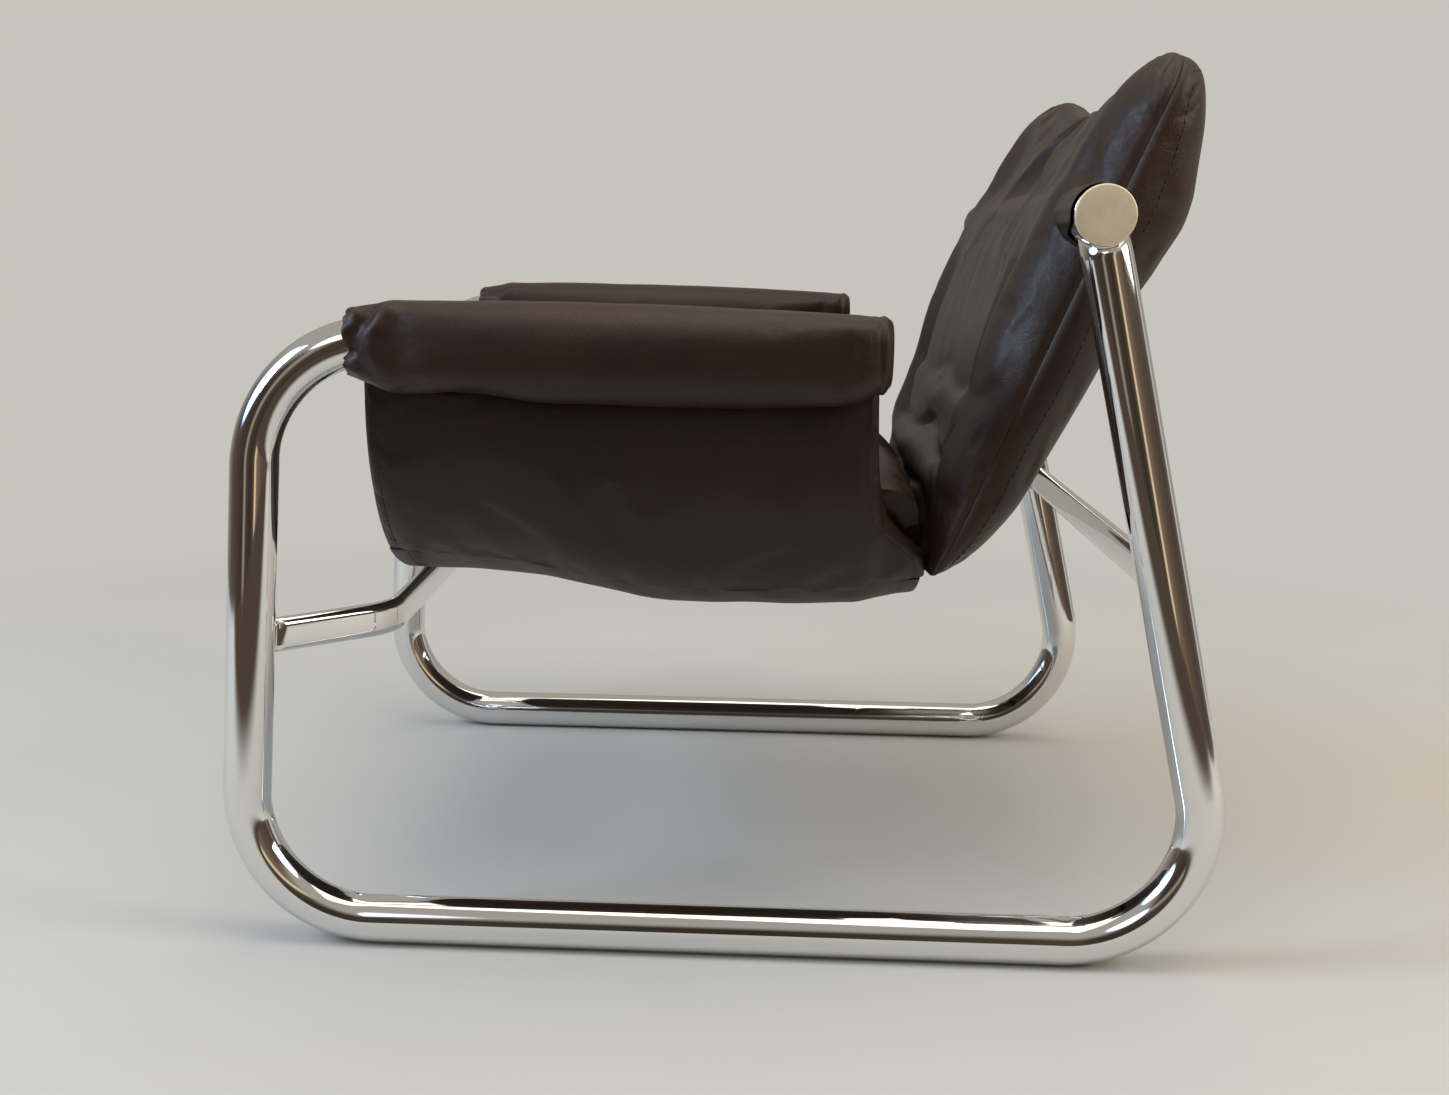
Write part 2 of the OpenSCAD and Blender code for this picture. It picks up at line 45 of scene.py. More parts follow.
# ---------------------------------------------------------------- sizes, in mm, as in the CAD
TUBE_R = 19.05
FRAME_X = 325.0
ARM_Z = 481.0
BEND_R = 101.0
FRONT_LEAN = math.radians(2.8)
REAR_LEAN = math.radians(12.5)
HALF_DEPTH = 392.0
RAIL_R = 22.25
RAIL_Z = 578.0
FRONT_BAR_Z = 246.0
FRONT_BAR_BACK = 93.0
FRONT_BAR_BEND = 60.0
REAR_BAR_Z = 305.0
BAR_H, BAR_T = 28.0, 14.0
PAD_REAR_GAP = 146.0
PAD_LAP = 27.0
PAD_HALF_W = 35.0
PAD_UP, PAD_DOWN = 31.5, 48.0
PAD_SQUARE = 2.5
PLUG_DEPTH = 29.0
PANEL_INSET = 12.5
PANEL_T = 18.0
PANEL_SHORT = 9.0
PANEL_SWEEP = 47.0
SLING_T = 6.0
SLING_SAG = 18.0
SLING_DROP = 6.0
SLING_SHORT = 5.0
SAG_END = 0.88
SOFT_GAP = 0.4
BED_GAP = 4.2
SEAM_ANGLE = math.radians(48)
BACK_LEAN = math.radians(23.4)
RAIL_AHEAD = 13.6
BACK_ABOVE, BACK_BELOW = 146.0, 298.0
BACK_W = 592.0
BACK_FRONT_T, BACK_REAR_T = 43.0, 59.5
BACK_EDGE = 58.0

FRONT_Y = -HALF_DEPTH + TUBE_R + BEND_R
REAR_Y = HALF_DEPTH - TUBE_R - BEND_R
BEND_Z = TUBE_R + BEND_R
LEG_LEN = (ARM_Z - 2 * BEND_R - TUBE_R) / math.cos(FRONT_LEAN)
ARM_Y = FRONT_Y + LEG_LEN * math.sin(FRONT_LEAN)
FRONT_LEG = (FRONT_Y - BEND_R * math.cos(FRONT_LEAN), BEND_Z + BEND_R * math.sin(FRONT_LEAN))
REAR_LEG = (REAR_Y + BEND_R * math.cos(REAR_LEAN), BEND_Z + BEND_R * math.sin(REAR_LEAN))
REAR_LEN = (RAIL_Z - REAR_LEG[1]) / math.cos(REAR_LEAN)
RAIL_Y = REAR_LEG[0] - REAR_LEN * math.sin(REAR_LEAN)
RAIL_END = FRAME_X + TUBE_R + 1.0
PAD_Y0 = ARM_Y - PAD_LAP
PAD_Y1 = RAIL_Y - PAD_REAR_GAP
PAD_LEN = PAD_Y1 - PAD_Y0
BAR_Y = FRONT_LEG[0] + (FRONT_BAR_Z - FRONT_LEG[1]) * math.tan(FRONT_LEAN) + FRONT_BAR_BACK
BAR_TOP = FRONT_BAR_Z + BAR_H / 2
REAR_BAR_Y = REAR_LEG[0] - (REAR_BAR_Z - REAR_LEG[1]) * math.tan(REAR_LEAN)
BUCKET_X = FRAME_X - PANEL_INSET
BUCKET_Y0 = BAR_Y - 4.0
PANEL_Y1 = PAD_Y1 - PANEL_SHORT
BUCKET_Y1 = PANEL_Y1 + PANEL_SWEEP
BACK_LEN = BACK_ABOVE + BACK_BELOW
BACK_HALF = BACK_W / 2


# ---------------------------------------------------------------- mesh helpers
def mesh_piece(name, verts, faces, material, smooth=True):
    """A mesh object from points in mm."""
    me = bpy.data.meshes.new(name)
    me.from_pydata((np.asarray(verts, float) * MM).tolist(), [], [list(map(int, f)) for f in faces])
    me.validate()
    me.update()
    if smooth:
        me.polygons.foreach_set("use_smooth", [True] * len(me.polygons))
    ob = bpy.data.objects.new(name, me)
    bpy.context.scene.collection.objects.link(ob)
    if material is not None:
        me.materials.append(material)
    return ob


def discard(ob):
    data = ob.data
    bpy.data.objects.remove(ob, do_unlink=True)
    bpy.data.meshes.remove(data)


def circle(count):
    """Cosines and sines round a circle."""
    angles = [2 * math.pi * j / count for j in range(count)]
    return [(math.cos(a), math.sin(a)) for a in angles]


def grid_faces(rows, cols, wrap=False):
    out = []
    for i in range(rows - 1):
        for j in range(cols if wrap else cols - 1):
            a, b = i * cols + j, i * cols + (j + 1) % cols
            out.append((a, b, b + cols, a + cols))
    return out


def cap(start, count, flip):
    face = tuple(range(start, start + count))
    return face[::-1] if flip else face


def tube_caps(rings, count, flip=True):
    return [cap(0, count, flip), cap((rings - 1) * count, count, not flip)]


def flipped(faces, when):
    return [f[::-1] for f in faces] if when else faces


def shell_faces(rows, cols):
    """Faces of a sheet with thickness: outer and inner points in each row, both ends closed."""
    count = 2 * cols
    faces = grid_faces(rows, count, True)
    for base in (0, (rows - 1) * count):
        for j in range(cols - 1):
            q = (base + j, base + j + 1, base + count - 2 - j, base + count - 1 - j)
            faces.append(q if base else q[::-1])
    return faces


def face_out(me):
    bm = bmesh.new()
    bm.from_mesh(me)
    bmesh.ops.recalc_face_normals(bm, faces=bm.faces)
    bm.to_mesh(me)
    bm.free()


def sharpen(ob, count, corners):
    """Keeps the long edges at the given ring places crisp under subdivision."""
    bm = bmesh.new()
    bm.from_mesh(ob.data)
    layer = bm.edges.layers.float.new("crease_edge")
    for e in bm.edges:
        a, b = e.verts[0].index, e.verts[1].index
        if a % count == b % count and a % count in corners:
            e[layer] = 1.0
            e.smooth = False
    bm.to_mesh(ob.data)
    bm.free()


def subdivide(ob):
    m = ob.modifiers.new("subsurf", "SUBSURF")
    m.levels = m.render_levels = 1


def split_edges(ob, degrees):
    ob.modifiers.new("edge_split", "EDGE_SPLIT").split_angle = math.radians(degrees)


def place(ob, *replaced, slot):
    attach(ob, "root")
    if replaced:
        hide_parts(*replaced)


# ---------------------------------------------------------------- materials
def node(nt, kind, **values):
    """A node with its sockets or settings set by name."""
    n = nt.nodes.new(kind)
    for k, v in values.items():
        if k in n.inputs:
            n.inputs[k].default_value = v
        else:
            setattr(n, k, v)
    return n


def grey(v):
    return (v, v, v)


def ramp(nt, fac, stops):
    """Colour ramp over stops of (position, colour)."""
    n = nt.nodes.new("ShaderNodeValToRGB")
    el = n.color_ramp.elements
    while len(el) > 1:
        el.remove(el[-1])
    el[0].position, el[0].color = stops[0][0], (*stops[0][1], 1)
    for pos, col in stops[1:]:
        el.new(pos).color = (*col, 1)
    nt.links.new(fac, n.inputs["Fac"])
    return n.outputs["Color"]


def ease(nt, value, low, high):
    """Rises smoothly from 0 to 1 while value goes from low to high."""
    n = nt.nodes.new("ShaderNodeMapRange")
    n.interpolation_type = "SMOOTHSTEP"
    n.inputs["From Min"].default_value = low
    n.inputs["From Max"].default_value = high
    nt.links.new(value, n.inputs["Value"])
    return n.outputs["Result"]


def times(nt, a, b):
    n = node(nt, "ShaderNodeMath", operation="MULTIPLY")
    nt.links.new(a, n.inputs[0])
    nt.links.new(b, n.inputs[1])
    return n.outputs[0]


def mix_shader(nt, fac, a, b):
    n = nt.nodes.new("ShaderNodeMixShader")
    for k, source in enumerate((fac, a, b)):
        nt.links.new(source, n.inputs[k])
    return n.outputs[0]


class Look:
    """A Principled material in object space, with short calls for its usual nodes."""

    def __init__(self, name, **constants):
        self.material = bpy.data.materials.new(name)
        self.material.use_nodes = True
        self.nt = self.material.node_tree
        self.link = self.nt.links.new
        self.bsdf = self.nt.nodes["Principled BSDF"]
        self.at = node(self.nt, "ShaderNodeTexCoord").outputs["Object"]
        for k, v in constants.items():
            self.bsdf.inputs[k.replace("_", " ")].default_value = v

    def noise(self, scale, detail, rough=0.5, distortion=0.0, out="Fac"):
        n = node(self.nt, "ShaderNodeTexNoise", Scale=scale, Detail=detail, Roughness=rough, Distortion=distortion)
        self.link(self.at, n.inputs["Vector"])
        return n.outputs[out]

    def ramp(self, fac, *stops):
        return ramp(self.nt, fac, stops)

    def bump(self, height, strength, distance, under=None):
        n = node(self.nt, "ShaderNodeBump", Strength=strength, Distance=distance)
        self.link(height, n.inputs["Height"])
        if under is not None:
            self.link(under, n.inputs["Normal"])
        return n.outputs["Normal"]

    def feed(self, socket, source):
        self.link(source, self.bsdf.inputs[socket])


def chrome_material():
    m = Look("chrome", Base_Color=(0.78, 0.775, 0.76, 1), Metallic=1.0)
    m.feed("Roughness", m.ramp(m.noise(22.0, 5.0, 0.6), (0.35, grey(0.045)), (0.8, grey(0.11))))
    m.feed("Normal", m.bump(m.noise(9.0, 1.0), 0.05, 0.004))
    return m.material


def satin_material():
    m = Look("disc_satin", Metallic=0.7, Roughness=0.5)
    m.feed("Base Color", m.ramp(m.noise(90.0, 6.0, 0.65), (0.3, (0.90, 0.76, 0.53)), (0.7, (0.99, 0.87, 0.66))))
    m.feed("Normal", m.bump(m.noise(420.0, 3.0), 0.12, 0.0004))
    return m.material


def leather_material(name, dark, light, rough, crease):
    """Finished cowhide: pebble grain, fine creases, tone drift and rubbed high spots."""
    m = Look(name, Specular_IOR_Level=0.33, Coat_Weight=0.04, Coat_Roughness=0.2)
    tone = m.ramp(m.noise(7.0, 4.0, 0.6), (0.3, dark), (0.72, light))
    geo = node(m.nt, "ShaderNodeNewGeometry")
    worn = m.ramp(geo.outputs["Pointiness"], (0.52, grey(0)), (0.62, grey(1)))
    mix = node(m.nt, "ShaderNodeMix", data_type="RGBA")
    mix.inputs["B"].default_value = (light[0] * 1.9, light[1] * 1.7, light[2] * 1.5, 1)
    m.link(times(m.nt, worn, m.noise(55.0, 6.0, 0.7)), mix.inputs["Factor"])
    m.link(tone, mix.inputs["A"])
    m.feed("Base Color", mix.outputs["Result"])
    # pebble grain
    cells = node(m.nt, "ShaderNodeTexVoronoi", Scale=620.0, feature="DISTANCE_TO_EDGE")
    warp = node(m.nt, "ShaderNodeMix", data_type="VECTOR")
    warp.inputs["Factor"].default_value = 0.006
    m.link(m.at, warp.inputs["A"])
    m.link(m.noise(260.0, 3.0, out="Color"), warp.inputs["B"])
    m.link(warp.outputs["Result"], cells.inputs["Vector"])
    grain = m.ramp(cells.outputs["Distance"], (0.0, grey(0)), (0.16, grey(0.8)), (0.5, grey(1)))
    # fine creases over soft unevenness
    fine = m.ramp(m.noise(95.0, 7.0, 0.62, 1.3), (0.40, grey(0)), (0.52, grey(1)), (0.64, grey(0.2)))
    normal = m.bump(m.noise(26.0, 3.0), 0.32, 0.003)
    normal = m.bump(fine, crease * 0.5, 0.0010, normal)
    m.feed("Normal", m.bump(grain, 0.30, 0.00035, normal))
    gloss = m.nt.nodes.new("ShaderNodeMapRange")
    gloss.inputs["To Min"].default_value, gloss.inputs["To Max"].default_value = rough
    m.link(m.noise(38.0, 5.0, 0.65), gloss.inputs["Value"])
    m.feed("Roughness", gloss.outputs["Result"])
    return m.material


def plain_material(name, color, rough, grain=300.0, bump=0.1):
    m = Look(name, Roughness=rough, Metallic=0.0)
    speck = m.noise(grain, 4.0)
    m.feed("Base Color", m.ramp(speck, (0.3, tuple(0.85 * c for c in color)), (0.7, color)))
    m.feed("Normal", m.bump(speck, bump, 0.0004))
    return m.material


CHROME = chrome_material()
SATIN = satin_material()
LEATHER = leather_material("leather", (0.021, 0.0088, 0.0044), (0.036, 0.0160, 0.0080), (0.34, 0.50), 0.35)
# painted shade: a darker, slightly rougher copy of the same leather, for the side panels under the arm pads
LEATHER_SIDE_SHADED = leather_material(
    "leather_side_shaded", (0.020, 0.0080, 0.0040), (0.029, 0.0122, 0.0062), (0.42, 0.52), 0.25)
# painted shade: a darker, slightly rougher copy of the same leather, for the sling under the seat
LEATHER_UNDER_SHADED = leather_material(
    "leather_under_shaded", (0.020, 0.0080, 0.0040), (0.028, 0.0118, 0.0062), (0.44, 0.54), 0.25)
THREAD = plain_material("thread", (0.020, 0.012, 0.009), 0.6, 2500.0, 0.5)
PLASTIC = plain_material("plug_plastic", (0.012, 0.012, 0.012), 0.45)


# ---------------------------------------------------------------- side frames
def arc(cy, cz, a0, a1, count):
    """A bend in the plane of a side frame: place, tangent and share of the bend."""
    out = []
    s = 1 if a1 > a0 else -1
    for k in range(count + 1):
        a = a0 + (a1 - a0) * k / count
        out.append((cy + BEND_R * math.cos(a), cz + BEND_R * math.sin(a), -s * math.sin(a), s * math.cos(a), k / count))
    return out


def straight(p, q, count):
    d = Vector((q[0] - p[0], q[1] - p[1]))
    n = d.normalized()
    return [(p[0] + d.x * k / count, p[1] + d.y * k / count, n.x, n.y, None) for k in range(count + 1)]


def frame_path():
    pi = math.pi
    top = arc(ARM_Y, ARM_Z - BEND_R, pi / 2, pi - FRONT_LEAN, 40)
    low = arc(FRONT_Y, BEND_Z, pi - FRONT_LEAN, 1.5 * pi, 44)
    rear = arc(REAR_Y, BEND_Z, -pi / 2, REAR_LEAN, 44)
    path = straight((PAD_Y1 - PLUG_DEPTH, ARM_Z), (ARM_Y, ARM_Z), 24)[:-1] + top
    path += straight(top[-1][:2], low[0][:2], 16)[1:-1] + low
    path += straight((FRONT_Y, TUBE_R), (REAR_Y, TUBE_R), 30)[1:-1] + rear
    short = 30
    path += straight(REAR_LEG, (RAIL_Y + short * math.sin(REAR_LEAN), RAIL_Z - short * math.cos(REAR_LEAN)), 26)[1:]
    return path


def rail_meet(side, count, sunk):
    """Where a rear leg's skin meets the rail's, sunk into the leg by a little."""
    w = (-math.sin(REAR_LEAN), math.cos(REAR_LEAN))
    n = (-w[1], w[0])
    out = []
    for c, s in circle(count):
        t = TUBE_R * s
        h = math.sqrt(RAIL_R**2 - t * t) - sunk
        out.append((side * (FRAME_X + TUBE_R * c), RAIL_Y - w[0] * h + n[0] * t, RAIL_Z - w[1] * h + n[1] * t))
    return out


def side_frame(side, word):
    """Bent tube, a little flattened in its bends, its rear leg coped to the rail."""
    count = 72
    most_draw, flattening, run_in, cope_sunk = 0.28, 0.012, 0.09, 0.6
    verts = []
    path = frame_path()
    for y, z, ty, tz, share in path:
        draw = 0.0 if share is None else most_draw * min(1.0, share / run_in, (1 - share) / run_in)
        r = TUBE_R - draw
        flat = 1.0 - flattening * draw / most_draw
        for c, s in circle(count):
            verts.append((side * (FRAME_X + r * c), y - tz * r * flat * s, z + ty * r * flat * s))
    verts += rail_meet(side, count, cope_sunk)
    rings = len(path) + 1
    faces = grid_faces(rings, count, True) + tube_caps(rings, count, side > 0)
    return mesh_piece("side_tube_" + word, verts, flipped(faces, side > 0), CHROME)


def weld_bead(name, points, radius):
    """A thin bead along a closed line of points."""
    count = 10
    points = np.asarray(points, float)
    n = len(points)
    verts = []
    for i in range(n):
        t = points[(i + 1) % n] - points[i - 1]
        t /= np.linalg.norm(t)
        ref = np.array([0.0, 0.0, 1.0]) if abs(t[2]) < 0.9 else np.array([1.0, 0, 0])
        u = np.cross(t, ref)
        u /= np.linalg.norm(u)
        v = np.cross(t, u)
        verts += [points[i] + radius * (c * u + s * v) for c, s in circle(count)]
    faces = grid_faces(n, count, True)
    last = (n - 1) * count
    faces += [(last + j, last + (j + 1) % count, (j + 1) % count, j) for j in range(count)]
    return mesh_piece(name, verts, faces, CHROME)


# ---------------------------------------------------------------- crossbars
def bar_ring(inset=0.0):
    """Flat-oval section: points (across, up)."""
    r = BAR_T / 2 - inset
    flat = (BAR_H - BAR_T) / 2
    pts = []
    for s in (1, -1):
        for k in range(17):
            a = math.pi * k / 16 if s > 0 else math.pi + math.pi * k / 16
            pts.append((r * math.cos(a), s * flat + r * math.sin(a)))
    return pts


def flat_bar(name, path, z):
    """Bar along a level path of (x, y, tangent x, tangent y)."""
    ring = bar_ring()
    verts = [(x - ty * a, y + tx * a, z + b) for x, y, tx, ty in path for a, b in ring]
    count, rings = len(ring), len(path)
    return mesh_piece(name, verts, grid_faces(rings, count, True) + tube_caps(rings, count), CHROME)


def front_bar():
    corner = FRAME_X - FRONT_BAR_BACK
    turn = math.pi / 4
    tangent = FRONT_BAR_BEND * math.tan(turn / 2)
    half = []
    end = FRAME_X - 12.5
    for k in range(9):
        x = end + (corner + tangent * math.cos(turn) - end) * k / 8
        half.append((x, BAR_Y - (x - corner), -math.cos(turn), math.sin(turn)))
    cx, cy = corner - tangent, BAR_Y - FRONT_BAR_BEND
    for k in range(1, 17):
        c, s = math.cos(math.pi / 4 + turn * k / 16), math.sin(math.pi / 4 + turn * k / 16)
        half.append((cx + FRONT_BAR_BEND * c, cy + FRONT_BAR_BEND * s, -s, c))
    other = [(-x, y, tx, -ty) for x, y, tx, ty in reversed(half)]
    mid = [(half[-1][0] * (1 - k / 12) + other[0][0] * k / 12, BAR_Y, -1.0, 0.0) for k in range(1, 12)]
    return flat_bar("front_bar", half + mid + other, FRONT_BAR_Z)


def rear_bar():
    end = FRAME_X - TUBE_R + 5.0
    return flat_bar("rear_bar", [(end - 2 * end * k / 14, REAR_BAR_Y, -1.0, 0.0) for k in range(15)], REAR_BAR_Z)


def bar_meet(side, rear):
    """Where a bar meets its leg, on the leg's skin."""
    pts = []
    lean, leg, z0 = (REAR_LEAN, REAR_LEG, REAR_BAR_Z) if rear else (FRONT_LEAN, FRONT_LEG, FRONT_BAR_Z)
    s = -1 if rear else 1
    for a, b in bar_ring(-0.3):
        z = z0 + b
        axis_y = leg[0] + s * (z - leg[1]) * math.tan(lean)
        if rear:
            y = REAR_BAR_Y - a
            x = FRAME_X - math.sqrt(max(0.0, TUBE_R**2 - ((y - axis_y) * math.cos(lean)) ** 2))
        else:
            # the bar's side line runs at 45 degrees through (ox, axis_y + dy) and meets the leg's circle
            ox = FRAME_X - a / math.sqrt(2)
            oy = BAR_Y - FRONT_BAR_BACK - a / math.sqrt(2)
            dy = oy - axis_y
            p = (ox - FRAME_X) - dy
            q = (ox - FRAME_X) ** 2 + dy**2 - TUBE_R**2
            t = (-p - math.sqrt(max(0.0, p * p - 2 * q))) / 2
            x, y = ox + t, oy - t
        pts.append((side * x, y, z))
    return pts


for s, word in SIDES:
    place(side_frame(s, word), "side_frame_" + word, slot="frame_chrome")
    place(weld_bead("rail_weld_" + word, rail_meet(s, 96, 0.0), 1.3), slot="frame_chrome")
    place(weld_bead("front_bar_weld_" + word, bar_meet(s, False), 1.2), slot="frame_chrome")
    place(weld_bead("rear_bar_weld_" + word, bar_meet(s, True), 1.2), slot="frame_chrome")
place(front_bar(), "front_crossbar", slot="frame_chrome")
place(rear_bar(), "rear_crossbar", slot="frame_chrome")


# ---------------------------------------------------------------- rail and end discs
def round_rail(rings, count, side=1):
    """Points of rings round the rail's axis, each given by (x, radius)."""
    return [(side * x, RAIL_Y + r * c, RAIL_Z + r * s) for x, r in rings for c, s in circle(count)]


def turned(name, profile, material, side=1):
    count = 96
    faces = grid_faces(len(profile), count, True) + tube_caps(len(profile), count)
    return mesh_piece(name, round_rail(profile, count, side), flipped(faces, side < 0), material)


rail = turned("rail", [(-RAIL_END, RAIL_R - 0.4), (-RAIL_END + 0.4, RAIL_R), (-300, RAIL_R), (-100, RAIL_R),
                       (100, RAIL_R), (300, RAIL_R), (RAIL_END - 0.4, RAIL_R), (RAIL_END, RAIL_R - 0.4)], CHROME)
split_edges(rail, 40)
place(rail, "back_rail", slot="frame_chrome")
DISC_EDGE = [(0.05, 0.5), (0.5, 0), (3.2, 0), (3.6, 0.15), (3.9, 0.5), (4.0, 0.95), (4.0, RAIL_R - 12.0)]
for s, word in SIDES:
    disc = turned("rail_end_disc_" + word, [(RAIL_END + out, RAIL_R - less) for out, less in DISC_EDGE], SATIN, s)
    split_edges(disc, 60)
    place(disc, "rail_disc_" + word, slot="disc_satin")
for s, word in SIDES:
    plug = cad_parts["arm_tube_plug_" + word].data
    plug.materials.clear()
    plug.materials.append(PLASTIC)

# ---------------------------------------------------------------- soft goods: forms as in the CAD
# each table runs over (share of the length, value)
PAD_UP_SHARES = [(0, 0.76), (0.05, 0.89), (0.09, 1), (0.25, 0.99), (0.5, 0.93), (0.79, 0.83), (0.93, 0.77),
                 (0.975, 0.72), (0.99, 0.68), (1, 0.62)]
PAD_DOWN_SHARES = [(0, 0.56), (0.035, 0.68), (0.10, 0.86), (0.24, 0.88), (0.38, 1), (0.66, 1), (0.88, 0.97),
                   (0.93, 0.91), (0.97, 0.80), (0.99, 0.73), (1, 0.65)]
PAD_WIDTH_SHARES = [(0, 0.68), (0.03, 0.82), (0.09, 0.96), (0.2, 1), (0.8, 1), (0.93, 0.97), (0.98, 0.90),
                    (0.99, 0.86), (1, 0.78)]
SAG_SHARES = [(0, 0), (0.15, 0.1), (0.28, -0.05), (0.42, -0.6), (0.55, -1), (0.78, -1), (0.88, -0.95)]
SQUARE_SHARES = [(0, 2.4), (0.15, 2.55), (0.35, 2.9), (0.55, 3.1), (1, 3)]
SWEEP_SHARES = [(0, 0), (0.2, 0.04), (0.3, 0.08), (0.4, 0.14), (0.5, 0.24), (0.6, 0.44), (0.7, 0.70),
                (0.8, 0.90), (1, 0.96)]
EDGE_SHARES = [(0, 0.30), (0.015, 0.72), (0.045, 0.93), (0.09, 1), (0.91, 1), (0.955, 0.93), (0.985, 0.72),
               (1, 0.30)]
NOSE_SHARES = [(0, 0.30), (0.02, 0.62), (0.06, 0.84), (0.12, 0.96), (0.2, 1), (0.82, 1), (0.92, 0.93),
               (0.97, 0.78), (1, 0.42)]
FRONT_SHARES = [(0, 0), (0.02, 0.14), (0.07, 0.30), (0.135, 0.43), (0.176, 0.62), (0.21, 0.685), (0.27, 0.69),
                (0.336, 0.75), (0.42, 0.92), (0.49, 0.99), (0.55, 1), (0.626, 0.98), (0.694, 0.95),
                (0.752, 0.86), (0.80, 0.83), (0.847, 0.77), (0.892, 0.70), (0.934, 0.57), (0.966, 0.40),
                (0.984, 0.27), (0.995, 0.14), (1, 0)]
REAR_SHARES = [(0, 0), (0.02, 0.22), (0.072, 0.42), (0.122, 0.55), (0.187, 0.67), (0.28, 0.735), (0.363, 0.78),
               (0.456, 0.83), (0.606, 0.865), (0.647, 0.92), (0.70, 0.97), (0.739, 1), (0.787, 0.96),
               (0.816, 0.90), (0.866, 0.775), (0.914, 0.645), (0.946, 0.54), (0.975, 0.41), (0.991, 0.28),
               (0.998, 0.14), (1, 0)]
BOLSTER_DROP = [(0, 2), (0.12, 6), (0.25, 12), (0.45, 13), (0.55, 9), (0.61, 4), (0.645, 2.2), (0.70, 3),
                (0.75, 8), (0.80, 11), (0.90, 10), (0.96, 6), (1, 2)]
FOLD_HALF = [(0, 210), (0.3, 212), (0.5, 210), (0.57, 200), (0.613, 137), (0.66, 96), (0.703, 92),
             (0.788, 84), (0.847, 56), (0.93, 34), (1, 26)]
HOLLOW_DEEP = [(0, 2), (0.12, 4), (0.3, 6), (0.45, 6), (0.55, 5), (0.61, 3), (0.645, 2), (0.70, 2.6),
               (0.74, 4.6), (0.80, 8), (0.87, 10.5), (0.93, 9), (1, 3)]


def smooth_lookup(x, table):
    """Monotone cubic through a table of (place, share)."""
    xs, ys = np.array(table, float).T
    h = np.diff(xs)
    d = np.diff(ys) / h
    m = np.zeros(len(xs))
    w1, w2 = 2 * h[1:] + h[:-1], h[1:] + 2 * h[:-1]
    with np.errstate(divide="ignore", invalid="ignore"):
        mid = (w1 + w2) / (w1 / d[:-1] + w2 / d[1:])
    m[1:-1] = np.where(d[:-1] * d[1:] > 0, mid, 0.0)
    m[0], m[-1] = d[0], d[-1]
    x = np.clip(np.asarray(x, float), xs[0], xs[-1])
    i = np.clip(np.searchsorted(xs, x, side="right") - 1, 0, len(h) - 1)
    t = (x - xs[i]) / h[i]
    return ((1 + 2 * t) * (1 - t) ** 2 * ys[i] + t * (1 - t) ** 2 * h[i] * m[i]
            + t * t * (3 - 2 * t) * ys[i + 1] + t * t * (t - 1) * h[i] * m[i + 1])


def eased(count, linear):
    """Places from 0 to 1, closer together at both ends."""
    k = np.linspace(0, 1, count)
    return linear * k + (1 - linear) * (1 - np.cos(math.pi * k)) / 2


def power(c, n):
    return np.sign(c) * np.abs(c) ** (2.0 / n)


def bump(x, centre, width):
    return np.exp(-(((x - centre) / width) ** 2))


def share(x):
    return np.clip(x, 0, 1)


def fractal(g, scale, seed, stretch=(1, 1, 1)):
    """Two octaves of smooth noise at a grid of points in mm, about -1 to 1."""
    p = g.reshape(-1, 3) * np.array(stretch)
    out = np.zeros(len(p))
    for k in range(2):
        f = 2.0**k / scale
        out += np.array([mnoise.noise(Vector((q[0] * f + seed, q[1] * f - seed, q[2] * f + 3 * k))) for q in p]) / 1.8**k
    return out.reshape(g.shape[:2])


def unit(v):
    return v / np.maximum(np.linalg.norm(v, axis=2, keepdims=True), 1e-9)


def wound_normals(g, wrap=False):
    """Unit normals of a grid of points, as its faces are wound."""
    du = (np.roll(g, -1, 1) - np.roll(g, 1, 1)) / 2 if wrap else np.gradient(g, axis=1)
    return unit(np.cross(du, np.gradient(g, axis=0)))


def grid_normals(g, toward, wrap=False):
    """Unit normals of a grid of points, on the side that toward points to."""
    n = wound_normals(g, wrap)
    return n if float((n * toward).sum()) >= 0 else -n


def rim_pins(shape, ends=1, sides=True):
    """Pins for the first and last rows of a grid, and for its side columns."""
    pins = np.zeros(shape)
    pins[:ends] = pins[-1:] = 1
    if sides:
        pins[:, 0] = pins[:, -1] = 1
    return pins


def run_cloth(g, pins, pressure, shrink, wrap, frames, outward, bend):
    """Points of a grid after a cloth simulation."""
    stiff, damping = 12.0, 8.0
    rows, cols = g.shape[:2]
    inward = float((wound_normals(g, wrap) * outward).sum()) < 0
    ob = mesh_piece("work_cloth", g.reshape(-1, 3), flipped(grid_faces(rows, cols, wrap), inward), None)
    vg = ob.vertex_groups.new(name="pin")
    vg.add(np.nonzero(pins.reshape(-1) == 1)[0].tolist(), 1.0, "REPLACE")
    m = ob.modifiers.new("work", "CLOTH")
    s = m.settings
    s.quality = 5
    s.mass = 0.35
    s.tension_stiffness = s.compression_stiffness = stiff
    s.shear_stiffness = stiff * 0.6
    s.bending_stiffness = bend
    s.tension_damping = s.compression_damping = s.shear_damping = damping
    s.air_damping = 4.0
    s.vertex_group_mass = "pin"
    s.pin_stiffness = 4.0
    s.use_pressure = True
    s.uniform_pressure_force = pressure
    s.shrink_min = shrink
    s.effector_weights.gravity = 0.0
    m.collision_settings.use_collision = False
    m.point_cache.frame_start, m.point_cache.frame_end = 1, frames
    scene = bpy.context.scene
    for f in range(1, frames + 1):
        scene.frame_set(f)
    ev = ob.evaluated_get(bpy.context.evaluated_depsgraph_get())
    me = ev.to_mesh()
    co = np.empty(len(me.vertices) * 3)
    me.vertices.foreach_get("co", co)
    ev.to_mesh_clear()
    scene.frame_set(1)
    discard(ob)
    return co.reshape(rows, cols, 3) / MM


